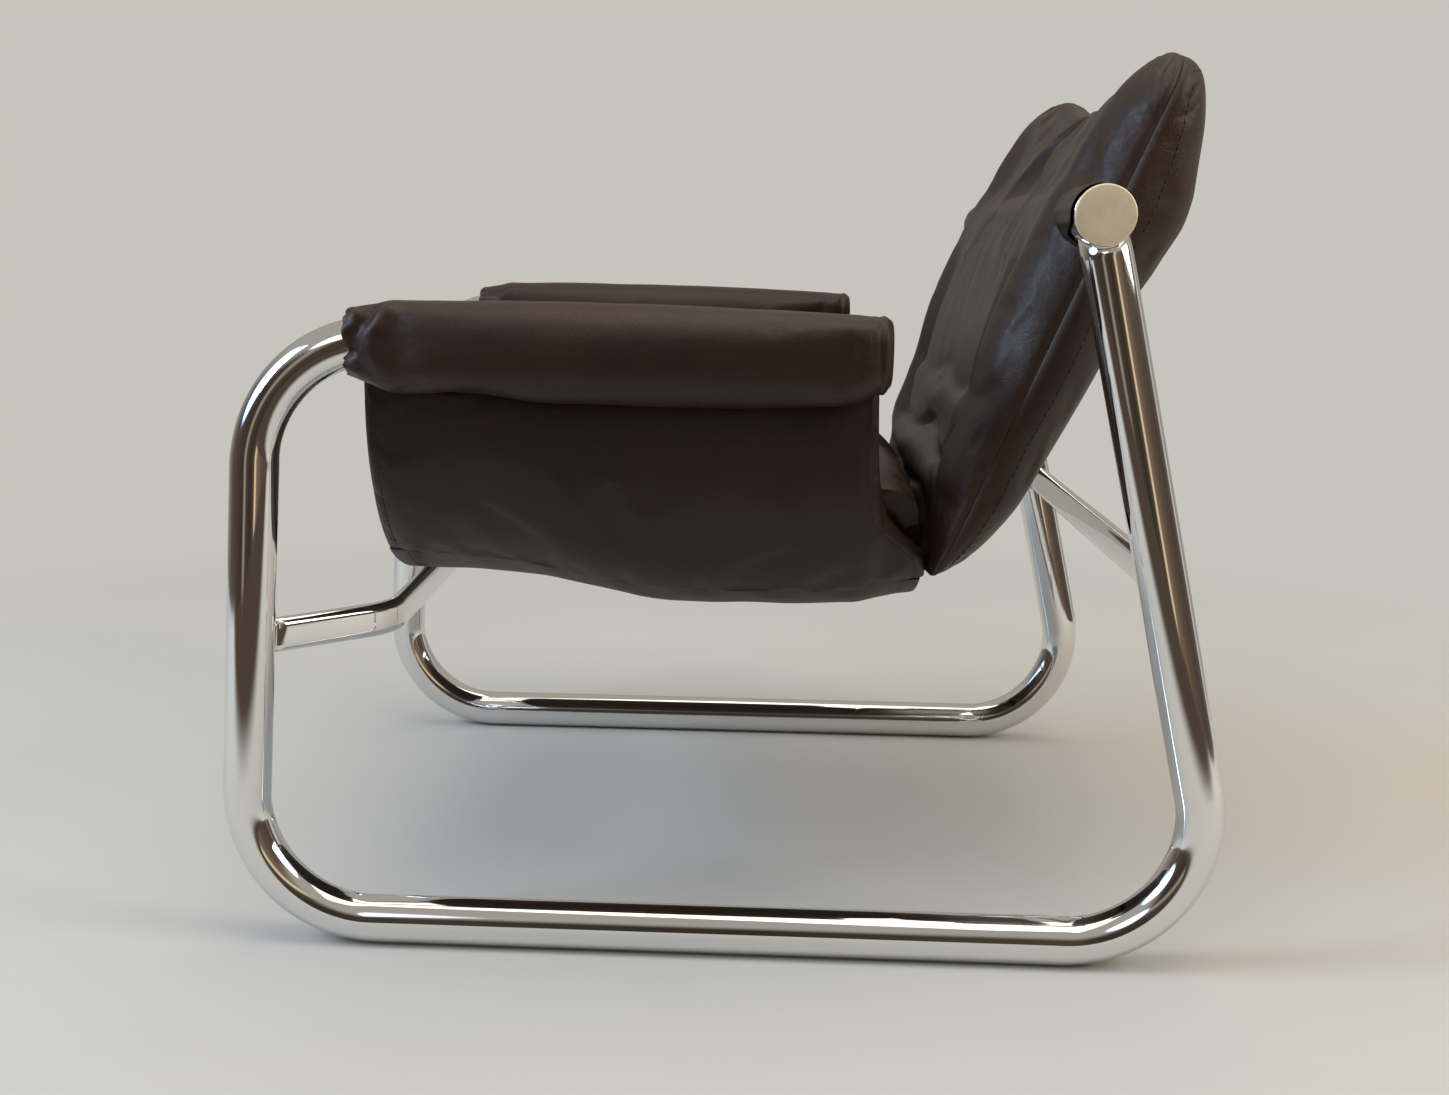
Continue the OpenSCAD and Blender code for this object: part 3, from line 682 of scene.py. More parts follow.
def cloth(fine, pins, pressure, shrink, cap_mm, frames, outward, bend, wrap=False):
    """Puffs a grid of points by simulation on every second line of it, its movement capped."""
    rows, cols = fine.shape[:2]
    rows_at = list(range(0, rows - 1, 2)) + [rows - 1]
    cols_at = list(range(0, cols, 2)) if wrap else list(range(0, cols - 1, 2)) + [cols - 1]

    def coarse(field):
        return field[rows_at][:, cols_at]

    g = coarse(fine)
    move = run_cloth(g, coarse(pins), pressure, shrink, wrap, frames, coarse(outward), bend) - g
    size = np.linalg.norm(move, axis=2, keepdims=True)
    most = coarse(np.broadcast_to(np.asarray(cap_mm, float), (rows, cols)))[..., None]
    move = move * np.where(size > 1e-9, most * np.tanh(size / most) / np.maximum(size, 1e-9), 0)
    move *= 1 - (coarse(pins)[..., None] >= 1)
    # the simulated movement, spread over the fine grid
    wide = np.empty((len(rows_at), cols, 3))
    full = np.empty(fine.shape)
    for q in range(3):
        for i in range(len(rows_at)):
            xp, fp = cols_at, move[i, :, q]
            if wrap:
                xp, fp = cols_at + [cols], np.append(fp, fp[0])
            wide[i, :, q] = np.interp(np.arange(cols), xp, fp)
        for j in range(cols):
            full[:, j, q] = np.interp(np.arange(rows), rows_at, wide[:, j, q])
    return fine + full * (1 - (pins[..., None] >= 1))


STITCH_STEP, STITCH_LEN, THREAD_R = 6.5, 4.6, 0.45


def stitches(ob, name, points, normals):
    """Short sewn stitches on a piece, along a line of points on its surface."""
    points, normals = np.asarray(points, float), np.asarray(normals, float)
    run = np.concatenate([[0], np.cumsum(np.linalg.norm(np.diff(points, axis=0), axis=1))])

    def at(s, line):
        return np.array([np.interp(s, run, line[:, k]) for k in range(3)])

    verts, faces = [], []
    s = STITCH_STEP / 2
    while s + STITCH_LEN / 2 < run[-1]:
        c, n = at(s, points), at(s, normals)
        n /= np.linalg.norm(n)
        t = at(s + STITCH_LEN / 2, points) - c
        t /= max(np.linalg.norm(t), 1e-9)
        b = np.cross(t, n)
        base = len(verts)
        for along, rad in ((-0.5, 0.35), (-0.35, 0.9), (0.0, 1.0), (0.35, 0.9), (0.5, 0.35)):
            lift = THREAD_R * (0.5 - 2.2 * along * along)
            for cos, sin in circle(6):
                verts.append(c + t * along * STITCH_LEN + n * (lift + THREAD_R * rad * sin) + b * THREAD_R * rad * cos)
        faces += [tuple(base + q for q in f) for f in grid_faces(5, 6, True) + tube_caps(5, 6)]
        s += STITCH_STEP
    mesh_piece(name, verts, faces, THREAD).parent = ob


def hem_stitches(ob, name, outer, normals, inset, skip, side=1):
    """Rows of stitches along the front and rear hems of a sheet."""
    mirror = np.array([side, 1, 1])
    for end, step, tag in ((0, inset, "front"), (-1, -inset, "rear")):
        line = []
        for j in range(skip, outer.shape[1] - skip):
            col = outer[:, j]
            line.append([np.interp(col[end, 1] + step, col[:, 1], col[:, q]) for q in range(3)])
        stitches(ob, name % tag, np.array(line) * mirror, normals[len(outer) // 2, skip:-skip] * mirror)


# ---------------------------------------------------------------- arm pads
def pad_under(off, y):
    v = (y - PAD_Y0) / PAD_LEN
    k = np.minimum(np.abs(off) / (PAD_HALF_W * smooth_lookup(v, PAD_WIDTH_SHARES)), 0.98)
    return ARM_Z - PAD_DOWN * smooth_lookup(v, PAD_DOWN_SHARES) * (1 - k**PAD_SQUARE) ** (1 / PAD_SQUARE)


def pad_rings(v, a):
    w = PAD_HALF_W * smooth_lookup(v, PAD_WIDTH_SHARES)
    u = PAD_UP * smooth_lookup(v, PAD_UP_SHARES)
    d = PAD_DOWN * smooth_lookup(v, PAD_DOWN_SHARES)
    c, s = np.cos(a), np.sin(a)
    x = w[:, None] * power(c, PAD_SQUARE)[None]
    z = ARM_Z + np.where(s > 0, u[:, None], d[:, None]) * power(s, PAD_SQUARE)[None]
    y = np.repeat((PAD_Y0 + PAD_LEN * v)[:, None], len(a), 1)
    return np.stack([x, y, z], 2)


def bore_ring(a, y, into_bend, r):
    """Ring of the pad's bore, which follows the arm tube a little way into its bend."""
    drop = BEND_R - math.sqrt(BEND_R**2 - into_bend**2)
    return np.stack([r * np.cos(a), np.full(len(a), y), ARM_Z - drop + r * np.sin(a)], 1)


PAD_CENTRE = np.array([0, 0, ARM_Z])
PINCH = -9.0
# folds that run from the pinch: start (along, round), end, depth, width
PAD_FOLDS = (((3, PINCH), (28, 42), 3.4, 6.0), ((3, PINCH), (36, -32), 1.7, 7.5),
             ((10, 12), (16, 46), -1.8, 5.0), ((34, 8), (42, 46), -1.7, 7.0))


def pad_folds(g, y, ang, rays, side):
    """Gathers, pinch folds, end seam and unevenness of a pad, and how far its mouth is notched."""
    d = -0.55 * rays * np.exp(-y / 16.0)
    round_mm = 38.0 * np.angle(np.exp(1j * ang))
    for (ya, sa), (yb, sb), drop, wide in PAD_FOLDS:
        run = math.hypot(yb - ya, sb - sa)
        t = ((y - ya) * (yb - ya) + (round_mm - sa) * (sb - sa)) / run
        off = ((y - ya) * (sb - sa) - (round_mm - sa) * (yb - ya)) / run
        d += -drop * bump(off, 0, wide) * share((t + 6) / 8) * share((run + 8 - t) / 16)
        d += 0.3 * drop * bump(np.abs(off), 2.1 * wide, wide) * share(t / 8) * share((run - t) / 16)
    notch = bump(round_mm, PINCH, 7.0)
    d += -2.4 * notch * np.exp(-y / 9.0)
    seam = PAD_LEN * 0.975
    d += -1.5 * bump(y, seam, 1.7) + 0.7 * bump(y, seam + 4, 2.5)
    d += 0.7 * fractal(g, 46.0, 4.0 * side, (1, 0.55, 1)) * share(y / 20) * share((PAD_LEN - y) / 14)
    return d, notch


def arm_pad(side, word):
    """Sleeve round the arm tube: gathered mouth, puffed body and a sewn end cap."""
    count = 96
    a = 2 * math.pi * np.arange(count) / count
    g = pad_rings(eased(100, 0.5), a)
    n = grid_normals(g, g - PAD_CENTRE, True)
    y = g[..., 1] - PAD_Y0
    ang = np.repeat(a[None], len(g), 0)
    # it starts a little slack, so that the pressure fills it to the CAD's outline
    g = g - n * (1.3 * share(y / 60) * share((PAD_LEN - y) / 40))[..., None]
    most = 3.6 * np.clip((y - 14) / 45, 0.1, 1) * np.clip((PAD_LEN - y - 3) / 34, 0.1, 1)
    g = cloth(g, rim_pins(y.shape, 2, False), 2.2, -0.030, most, 18, n, 2.0, True)
    n = grid_normals(g, g - PAD_CENTRE, True)
    rays = np.cos(11 * ang + 1.3 * np.sin(2 * ang)) + 0.5 * np.cos(17 * ang + 2.0)
    d, notch = pad_folds(g, y, ang, rays, side)
    g = g + n * d[..., None]
    g[..., 1] += (3.6 + 3.4 * notch) * np.exp(-y / 11.0) - 4.2 * np.exp(-(PAD_LEN - y) / 12.0)
    # rolled lip, then the bore
    rows = []
    target = bore_ring(a, PAD_Y0 + 2.0, PAD_LAP - 2, TUBE_R + 1.0)
    for back, mix in ((-1.6, 0.10), (-2.0, 0.35), (-1.0, 0.62), (1.6, 0.85)):
        p = g[0] * (1 - mix) + target * mix
        p[:, 1] = g[0][:, 1] + back + 0.5 * rays[0] * (1 - mix)
        rows.append(p)
    rows += [bore_ring(a, PAD_Y0 + 6, PAD_LAP - 6, TUBE_R + 0.9), bore_ring(a, PAD_Y0 + 14, PAD_LAP - 14, TUBE_R + 0.7),
             bore_ring(a, ARM_Y, 0, TUBE_R + 0.5), bore_ring(a, PAD_Y1 - PLUG_DEPTH + 4.6, 0, TUBE_R + 0.5)]
    # end cap, slightly domed
    end = []
    mid = g[-1].mean(0)
    for shrink, out in ((0.985, 0.9), (0.95, 1.5), (0.90, 1.9), (0.75, 2.3), (0.5, 2.6), (0.25, 2.7)):
        p = mid + (g[-1] - mid) * shrink
        p[:, 1] = g[-1][:, 1] + out
        end.append(p)
    rings = np.concatenate([np.array(rows[::-1]), g, np.array(end)])
    verts = rings * np.array([side, 1, 1]) + np.array([side * FRAME_X, 0, 0])
    faces = grid_faces(len(rings), count, True) + tube_caps(len(rings), count)
    ob = mesh_piece("pad_" + word, verts.reshape(-1, 3), flipped(faces, side < 0), LEATHER)
    subdivide(ob)
    place(ob, "arm_pad_" + word, slot="arm_leather")


# ---------------------------------------------------------------- bucket of side panels and sling
def bucket_share(y):
    return (np.asarray(y, float) - BUCKET_Y0) / (BUCKET_Y1 - BUCKET_Y0)


def bucket_floor(y):
    v = bucket_share(y)
    r = BAR_TOP + SOFT_GAP
    low = r + SLING_SAG * smooth_lookup(np.minimum(v, SAG_END), SAG_SHARES)
    t = np.maximum(0, (v - SAG_END) / 0.12)
    return np.where(v < SAG_END, low, r - SLING_SAG * 0.95 * (1 - t) - SLING_DROP * t**1.4)


def bucket_square(y):
    return smooth_lookup(bucket_share(y), SQUARE_SHARES)


def bucket_point(y, a, t):
    """Points of the bucket at angles down from the rim, set in from its outer face."""
    y, a, t = np.broadcast_arrays(np.asarray(y, float), np.asarray(a, float), np.asarray(t, float))
    n = bucket_square(y)
    x = BUCKET_X - t
    top = pad_under(PANEL_INSET + 0.66 * t, np.minimum(y, PAD_Y1)) - 2 * SOFT_GAP
    low = bucket_floor(y) + t
    return np.stack([x * power(np.cos(a), n), y, top - (top - low) * power(np.sin(a), n)], -1)


def from_seam(a):
    """Place between the rim, 0, and the seam of panel and sling, 1."""
    return np.minimum(a, math.pi - a) / SEAM_ANGLE


def panel_thick(a):
    w = from_seam(a)
    return np.where(w < 0.55, PANEL_T, SLING_T + (PANEL_T - SLING_T) * np.maximum(0, 1 - (w - 0.55) / 0.45))


def side_panel(side, word):
    """Padded panel between the pad and the sling, its edges turned and sewn."""
    n_v, n_w = 96, 56
    v = eased(n_v, 0.35)
    w = np.linspace(0, 1, n_w)
    thin = smooth_lookup(v, EDGE_SHARES)[:, None]
    a = (w * SEAM_ANGLE)[None]
    y = BUCKET_Y0 + (PANEL_Y1 + PANEL_SWEEP * smooth_lookup(w, SWEEP_SHARES)[None] - BUCKET_Y0) * v[:, None]
    outer = bucket_point(y, a, panel_thick(a) * (1 - thin) / 2)
    inner = bucket_point(y, a, panel_thick(a) * (1 + thin) / 2)
    out_n = unit(outer - inner)
    yy = y - BUCKET_Y0
    slack = 1.2 * np.sin(math.pi * v)[:, None] * np.sin(math.pi * w)[None]
    outer = cloth(outer - out_n * slack[..., None], rim_pins(y.shape), 1.2, -0.012, 1.5, 16, out_n, 3.0)
    # turned edges at front and rear
    edge = np.minimum(yy, y[-1:] - y)
    d = -0.4 * bump(edge, 9.0, 2.2) + 0.3 * bump(edge, 4.5, 3.0)
    # creases that run back from the front lower corner, over the bar
    z = outer[..., 2]
    for slope, height, amp, wide in ((0.32, 282.0, -1.7, 5.0), (0.20, 270.0, -1.3, 4.0), (0.50, 292.0, -0.9, 6.0)):
        d += amp * bump(z - (height - slope * yy), 0, wide) * bump(yy, 62, 46)
    d += 1.0 * bump(yy, 40, 30) * bump(z, 276, 10)
    fade = share(edge / 10) * (share(w / 0.08) * share((1 - w) / 0.08))[None]
    d += fade * 0.6 * fractal(outer, 70.0, 9.0 * side)
    outer = outer + out_n * d[..., None]
    # the top edge runs up into the pad's seam
    tuck = np.exp(-w / 0.035)[None]
    outer[..., 2] += 3.6 * tuck
    inner[..., 2] += 8.5 * tuck
    verts = np.concatenate([outer[:, ::-1], inner], 1) * np.array([side, 1, 1])
    # the panel wears the darker copy of the leather: painted shade
    ob = mesh_piece("panel_" + word, verts.reshape(-1, 3), flipped(shell_faces(n_v, n_w), side < 0), LEATHER_SIDE_SHADED)
    sharpen(ob, 2 * n_w, (0, 2 * n_w - 1))
    subdivide(ob)
    place(ob, "side_panel_" + word, slot="side_leather")
    hem_stitches(ob, "panel_stitch_%s_" + word, outer, out_n, 8.6, 2, side)


def sling():
    """Leather sheet slung between the panels over the front bar, hemmed at both ends."""
    n_v, n_a = 84, 96
    hem = 17.0
    a0 = SEAM_ANGLE + 0.15 / BUCKET_X
    a = np.linspace(a0, math.pi - a0, n_a)
    y = BUCKET_Y0 + (BUCKET_Y1 - SLING_SHORT - BUCKET_Y0) * eased(n_v, 0.5)
    outer = bucket_point(y[:, None], a[None], 0.0)
    out_n = unit(outer - bucket_point(y[:, None], a[None], SLING_T))
    yy = np.repeat((y - BUCKET_Y0)[:, None], n_a, 1)
    ax = np.abs(outer[..., 0])
    edge = np.minimum(yy, yy.max() - yy)
    d = -0.8 * bump(edge, 16.0, 1.6)
    # drag lines that fan out from the seams to the bar, and a soft belly
    away = share(yy / 40) * share(edge / 14)
    fan = np.cos(2 * math.pi * (yy + 0.22 * ax) / 62.0) * bump(ax, 250, 70)
    d += 1.1 * fan * away
    d += 0.9 * away * fractal(outer, 85.0, 21.0)
    d *= share(np.minimum(a - a0, math.pi - a0 - a) / 0.10)[None]
    outer = outer + out_n * np.minimum(d, 1.6)[..., None]
    inner = outer - out_n * np.where(edge < hem, 4.6, 4.0)[..., None]
    for end in (0, -1):
        inner[end] = outer[end] - out_n[end] * 2.4
    ring = np.concatenate([outer[:, ::-1], inner], 1)
    # the sling wears the darker copy of the leather: painted shade
    ob = mesh_piece("sling_sheet", ring.reshape(-1, 3), shell_faces(n_v, n_a), LEATHER_UNDER_SHADED)
    sharpen(ob, 2 * n_a, (0, n_a - 1, n_a, 2 * n_a - 1))
    subdivide(ob)
    place(ob, "seat_sling", slot="sling_leather")
    # flat size, along the finished sheet's own rows and columns
    hem_stitches(ob, "sling_stitch_%s", outer, out_n, 15.6, 1)


# ---------------------------------------------------------------- seat cushion
def seat():
    """Loose cushion with a crown, two sewn channels and a boxed edge."""
    channel_x, front_z, rear_z, top_most = 92.0, 386.0, 362.0, 404.0
    y0, y1 = BUCKET_Y0 + 3.0, BUCKET_Y1 - 20.0
    n_v, n_t, n_b = 92, 110, 64
    v = eased(n_v, 0.3)
    y = y0 + (y1 - y0) * v
    e = smooth_lookup(v, NOSE_SHARES)
    z = front_z + (rear_z - front_z) * v
    rim = bucket_point(y, 0.0, PANEL_T + BED_GAP)[:, 2]
    low = bucket_floor(y) + PANEL_T + BED_GAP
    a0 = np.arcsin(((rim - z) / (rim - low)) ** (bucket_square(y) / 2))
    tilt = np.maximum(0, (v - 0.7) / 0.3)
    ang = a0[:, None] + (math.pi - 2 * a0)[:, None] * np.linspace(0, 1, n_b)[None]
    w = from_seam(ang)
    bottom = bucket_point(y[:, None], ang, panel_thick(ang) + np.where(w < 0.9, BED_GAP, np.where(w < 1.1, 2.8, 1.9)))
    edge_x = bottom[:, 0, 0]
    middle = ((z + bottom[:, n_b // 2, 2]) / 2)[:, None]
    c = np.cos(math.pi * np.linspace(0, 1, n_t))
    c = np.sign(c) * np.abs(c) ** 0.9
    x = (edge_x - 3.0)[:, None] * c[None]
    ax = np.abs(x)
    groove = 4.2 * np.exp(-np.abs((ax - channel_x) / 7.0) ** 1.2)
    puff = 4.0 * np.cos(math.pi * np.clip(x / channel_x, -0.5, 0.5)) + 3.0 * np.sin(math.pi * share((ax - channel_x) / 180))
    h = 6.0 + 14.0 * (1 - np.abs(x / edge_x[:, None]) ** 2.6) + puff * 0.5 - groove * e[:, None]
    narrow = (0.94 + 0.06 * e)[:, None]
    lean = math.tan(BACK_LEAN)

    def face(px, to_z, highest):
        """Top or underside, drawn in at its ends and leaned with the back at the rear."""
        q = middle + (to_z - middle) * e[:, None]
        rise = np.minimum(highest, q - middle)
        return np.stack([px * narrow, y[:, None] + tilt[:, None] * rise * lean, q], 2)

    top = face(x, z[:, None] + h, math.inf)
    under = face(bottom[..., 0], bottom[..., 2], 0)
    pins = rim_pins(x.shape)
    pins[np.abs(np.abs(x * narrow) - channel_x) < 3.0] = 1
    up = np.zeros_like(top)
    up[..., 2] = 1
    slack = 2.0 * np.sin(math.pi * share(v))[:, None] * (1 - np.abs(c)[None] ** 6)
    top = cloth(top - up * slack[..., None], pins, 2.4, -0.025, 7.0, 20, up, 2.5)
    wave = fractal(top, 90.0, 31.0) * 1.1
    rough = fractal(top, 17.0, 37.0, (0.35, 1.0, 1.0))
    near = bump(np.abs(top[..., 0]), channel_x, 22.0)
    fade = share(np.minimum(v, 1 - v) / 0.05)[:, None] * share((1 - np.abs(c)) / 0.05)[None]
    top = top + up * ((wave + 0.9 * rough * near) * fade)[..., None]
    top[..., 2] = np.minimum(top[..., 2], top_most)
    ring = np.concatenate([top, under[:, ::-1]], 1)
    count = n_t + n_b
    faces = grid_faces(n_v, count, True) + tube_caps(n_v, count)
    ob = mesh_piece("cushion_seat", ring.reshape(-1, 3), faces, LEATHER)
    subdivide(ob)
    place(ob, "seat_cushion", slot="cushion_leather")


# ---------------------------------------------------------------- back cushion
def on_rail(p):
    """From the back's own seam plane (x, y, z) to the chair."""
    c, s = math.cos(BACK_LEAN), math.sin(BACK_LEAN)
    y = p[..., 1] + RAIL_AHEAD
    z = p[..., 2] - BACK_BELOW
    return np.stack([p[..., 0], RAIL_Y + y * c + z * s, RAIL_Z - y * s + z * c], -1)


def back_half_at(v):
    """Half width of the back, its four corners rounded."""
    lo = 1 - np.sqrt(np.maximum(0, 1 - np.maximum(0, 1 - v / 0.12) ** 2))
    hi = 1 - np.sqrt(np.maximum(0, 1 - np.maximum(0, (v - 0.93) / 0.07) ** 2))
    return BACK_HALF - 29.0 * lo - 24.0 * hi


def back_top_at(x):
    """Where the top seam runs: high on the bolsters, drawn down between them."""
    k = np.minimum(1, np.abs(x) / 232.0)
    dip = 31.0 * np.cos(math.pi / 2 * k**1.2) ** 2
    corner = 14.0 * share((np.abs(x) - 245) / 50) ** 1.5
    return BACK_LEN - 5.5 - dip - corner


def back_grid(front):
    """Half of the back's cover from seam to seam: points in its own plane and its place values."""
    rows, cols = 141, 201
    v = eased(rows, 0.25)
    c = -np.cos(math.pi * np.linspace(0, 1, cols))
    u = 0.8 * np.sign(c) * (1 - (1 - np.abs(c)) ** 0.8) + 0.2 * np.linspace(-1, 1, cols)
    x = back_half_at(v)[:, None] * u[None]
    ax = np.abs(x)
    foot = -16.0 * np.maximum(0, 1 - (x / BACK_HALF) ** 2)
    vv = np.repeat(v[:, None], cols, 1)
    along = foot + (back_top_at(x) - foot) * vv
    k = np.maximum(0, (np.abs(u) * BACK_HALF - (BACK_HALF - BACK_EDGE)) / BACK_EDGE)
    edge = np.sqrt(np.maximum(0, 1 - k * k))[None]
    if front:
        fold, bolster, hollow_deep = (smooth_lookup(v, t)[:, None] for t in (FOLD_HALF, BOLSTER_DROP, HOLLOW_DEEP))
        roll = share((248.0 - ax) / 40.0)
        roll = roll * roll * (3 - 2 * roll)
        rise = 0.58 * share((205.0 - ax) / np.maximum(205.0 - fold, 20))
        hollow = share(1 - (ax / fold) ** 1.9)
        ends = np.minimum(1, 4 * vv) * np.minimum(1, 7 * (1 - vv))
        deep = BACK_FRONT_T * smooth_lookup(v, FRONT_SHARES)[:, None] - ends * (
            bolster * roll * (1 - rise) + hollow_deep * hollow)
        y = -np.maximum(edge * deep, 0)
    else:
        sag = 5.0 * np.cos(math.pi / 2 * np.minimum(1, ax / 210)) ** 2 * np.sin(math.pi * vv)
        y = np.maximum(edge * BACK_REAR_T * smooth_lookup(v, REAR_SHARES)[:, None] - sag, 0)
    return np.stack([x, y, along], 2), vv


# long drag folds beside the hollow: middle, slope, height, width
DRAGS = ((128, 0.16, -1.3, 9), (165, 0.10, -0.8, 9), (-122, -0.15, -1.4, 9), (-170, -0.12, -0.9, 10),
         (24, 0.05, -1.0, 8), (-31, -0.06, -1.1, 9))
# billows over the seat: place, height, width, unevenness, tilt
BILLOWS = ((119, 8.5, 17, 0.18, 0.02), (69, 9.0, 15, 0.15, -0.05))
# folds across: place, depth, width, tilt
CROSS_FOLDS = ((146, 3.2, 7, -0.03), (95, 8.5, 5.5, -0.07), (43, 6.5, 6, -0.04), (18, 3.0, 6, 0.0))
# slanting tucks that run into the bolsters: place, slope, depth, length
TUCKS = ((104, 0.9, 2.6, 26), (82, -0.7, 2.2, 24), (58, -1.1, 2.2, 20))
# puckers on the side faces: place, depth, width
PUCKERS = ((212, 2.0, 6), (139, 1.5, 6), (340, 1.2, 7), (327, 1.4, 5), (268, 1.6, 6))


def front_folds(g, vv):
    """Folds of the front cover: gathers, puckers and the billows over the seat."""
    x, pl = g[..., 0], g[..., 2]
    ax = np.abs(x)
    below = back_top_at(x) - pl
    # gathers that fan out from the drawn-down top seam
    r = np.hypot(x, below + 5.0)
    ang = np.arctan2(x, below + 5.0)
    fine = 0.5 + 0.5 * np.cos(19 * ang + 2.2 * np.sin(2 * ang) + 0.4)
    d = 3.4 * (fine**0.7 - 0.6) * bump(r, 30, 46) * share(r / 16)
    d += 1.6 * np.cos(9 * ang + 1.0) * bump(r, 80, 50)
    d += -3.2 * bump(x, 0, 8.0) * bump(below, 26, 26)
    for x0, slope, amp, wide in DRAGS:
        d += amp * bump(x - (x0 + slope * (below - 150)), 0, wide) * bump(below, 125, 80)
    # the lit edge where the flank turns into the hollow
    d += 1.5 * bump(ax, smooth_lookup(vv, FOLD_HALF), 9.0) * share((vv - 0.56) / 0.08) * share((0.93 - vv) / 0.08)
    across = np.exp(-((ax / 214) ** 8))
    for at, high, wide, amp, tilt in BILLOWS:
        d += across * high * bump(pl, at + tilt * ax + 3 * np.sin(x / 41.0 + at), wide) * (
            1 - amp + amp * np.cos(x / 43.0 + at))
    for at, drop, wide, tilt in CROSS_FOLDS:
        d -= across * drop * bump(pl, at + tilt * ax + 5 * np.sin(x / 37.0 + at), wide) * (
            0.8 + 0.2 * np.cos(x / 28.0 + at))
    for s in (1, -1):
        for at, slope, drop, length in TUCKS:
            d -= drop * bump((pl - at) - slope * (s * x - 196), 0, 4.5) * bump(s * x, 196, length)
    d += 0.5 * share((ax - 236) / 30) * fractal(g, 15.0, 51.0, (1, 1, 0.45))
    for at, drop, wide in PUCKERS:
        d -= drop * bump(ax, 263, 14) * bump(pl, at + 0.15 * (ax - 263), wide)
    return d


def rear_folds(g, x):
    """One soft fold low down, and gathers below the drawn-down top seam."""
    pl = g[..., 2]
    d = -1.4 * bump(pl, 60, 12) * np.exp(-((x / 200) ** 4)) + 0.7 * fractal(g, 60.0, 61.0, (0.5, 1, 1))
    below = back_top_at(x) - pl
    r = np.hypot(x, below + 8.0)
    return d + 1.0 * np.cos(13 * np.arctan2(x, below + 8.0) + 1.1) * bump(r, 30, 34) * share(r / 15)


def clear_of_rail(g, front):
    """Keeps the cover outside the rail, except near the side faces, where the rail comes out."""
    radius = 24.6
    dy, dz = g[..., 1] + RAIL_AHEAD, g[..., 2] - BACK_BELOW
    r = np.maximum(np.hypot(dy, dz), 1e-6)
    ahead = (dy < 12.0) if front else (dy > 12.0)
    grow = np.where((r < radius) & ahead, (radius / r - 1) * share((284.0 - np.abs(g[..., 0])) / 20.0), 0)
    g[..., 1] += dy * grow
    g[..., 2] += dz * grow
    return g


def back_cover(front):
    """Front or rear half of the back: puffed by simulation, then its folds, crease and seam."""
    g, vv = back_grid(front)
    rows, cols = vv.shape
    sign = -1.0 if front else 1.0
    toward = np.array([0, sign, 0])
    out = grid_normals(g, toward)
    x = g[..., 0]
    ax = np.abs(x)
    rim = np.minimum(np.minimum(vv, 1 - vv) * BACK_LEN * 1.2, back_half_at(vv) - ax)
    inset = 1.6 * share((rim - 6) / 30)
    most = 0.6 + 2.9 * share(rim / 40)
    run = vv * BACK_LEN + ax * 0.9
    g = cloth(g - out * inset[..., None], rim_pins(vv.shape), 2.4, -0.024, most, 20, out, 2.6)
    out = grid_normals(g, toward)
    d = front_folds(g, vv) if front else rear_folds(g, x)
    # small gathers beside the seam
    d += 0.35 * np.cos(2 * math.pi * run / 9.0 + 2.2 * np.sin(run / 31.0)) * bump(rim, 9, 9)
    d += 0.8 * fractal(g, 75.0, 55.0 if front else 65.0)
    g = g + out * (d * share(rim / 4.0))[..., None]
    # the seam itself is drawn in, along its own plane
    g = g - out * np.array([1.0, 0, 1.0]) * (1.1 * bump(g[..., 1], 0, 2.6))[..., None]
    g = clear_of_rail(g, front)
    # nothing passes the seam plane, and a hair's gap stays between the halves
    lim = 0.15 * sign
    g[..., 1] = np.minimum(g[..., 1], lim) if front else np.maximum(g[..., 1], lim)
    g[0, :, 1] = g[-1, :, 1] = g[:, 0, 1] = g[:, -1, 1] = lim
    # closing face: rings of the rim drawn to the middle of the seam plane
    ids = np.arange(rows * cols).reshape(rows, cols)
    prev = np.concatenate([ids[:0:-1, 0], ids[0, :-1], ids[:-1, -1], ids[-1, :0:-1]]).tolist()
    faces = grid_faces(rows, cols)
    verts = on_rail(g).reshape(-1, 3)
    ring = verts[prev]
    mid = ring.mean(0)
    verts = verts.tolist()
    for s in (0.85, 0.55, 0.2):
        base = len(verts)
        verts += (mid + (ring - mid) * s).tolist()
        now = list(range(base, base + len(ring)))
        faces += list(zip(prev, prev[1:] + prev[:1], now[1:] + now[:1], now))
        prev = now
    faces.append(tuple(prev))
    ob = mesh_piece("cover_front" if front else "cover_rear", verts, faces, LEATHER)
    face_out(ob.data)
    return ob, g


def cut_bore(ob):
    """Takes the rail's bore out of a cover half."""
    faces = grid_faces(2, 72, True) + tube_caps(2, 72)
    cutter = mesh_piece("work_bore", round_rail([(-340.0, RAIL_R + 0.5), (340.0, RAIL_R + 0.5)], 72), faces, None)
    face_out(cutter.data)
    m = ob.modifiers.new("bore", "BOOLEAN")
    m.operation = "DIFFERENCE"
    m.solver = "EXACT"
    m.object = cutter
    new = bpy.data.meshes.new_from_object(ob.evaluated_get(bpy.context.evaluated_depsgraph_get()))
    ob.modifiers.remove(m)
    spare = ob.data
    name = spare.name
    if len(new.vertices) > 0.8 * len(spare.vertices):
        ob.data = new
        new.materials.clear()
        new.materials.append(LEATHER)
    else:
        # the cut failed: the cover stays whole, with the rail through it
        spare = new
    bpy.data.meshes.remove(spare)
    ob.data.name = name
    discard(cutter)
    ob.data.polygons.foreach_set("use_smooth", [True] * len(ob.data.polygons))


def smooth_step(x):
    x = min(1.0, max(0.0, x))
    return x * x * (3 - 2 * x)


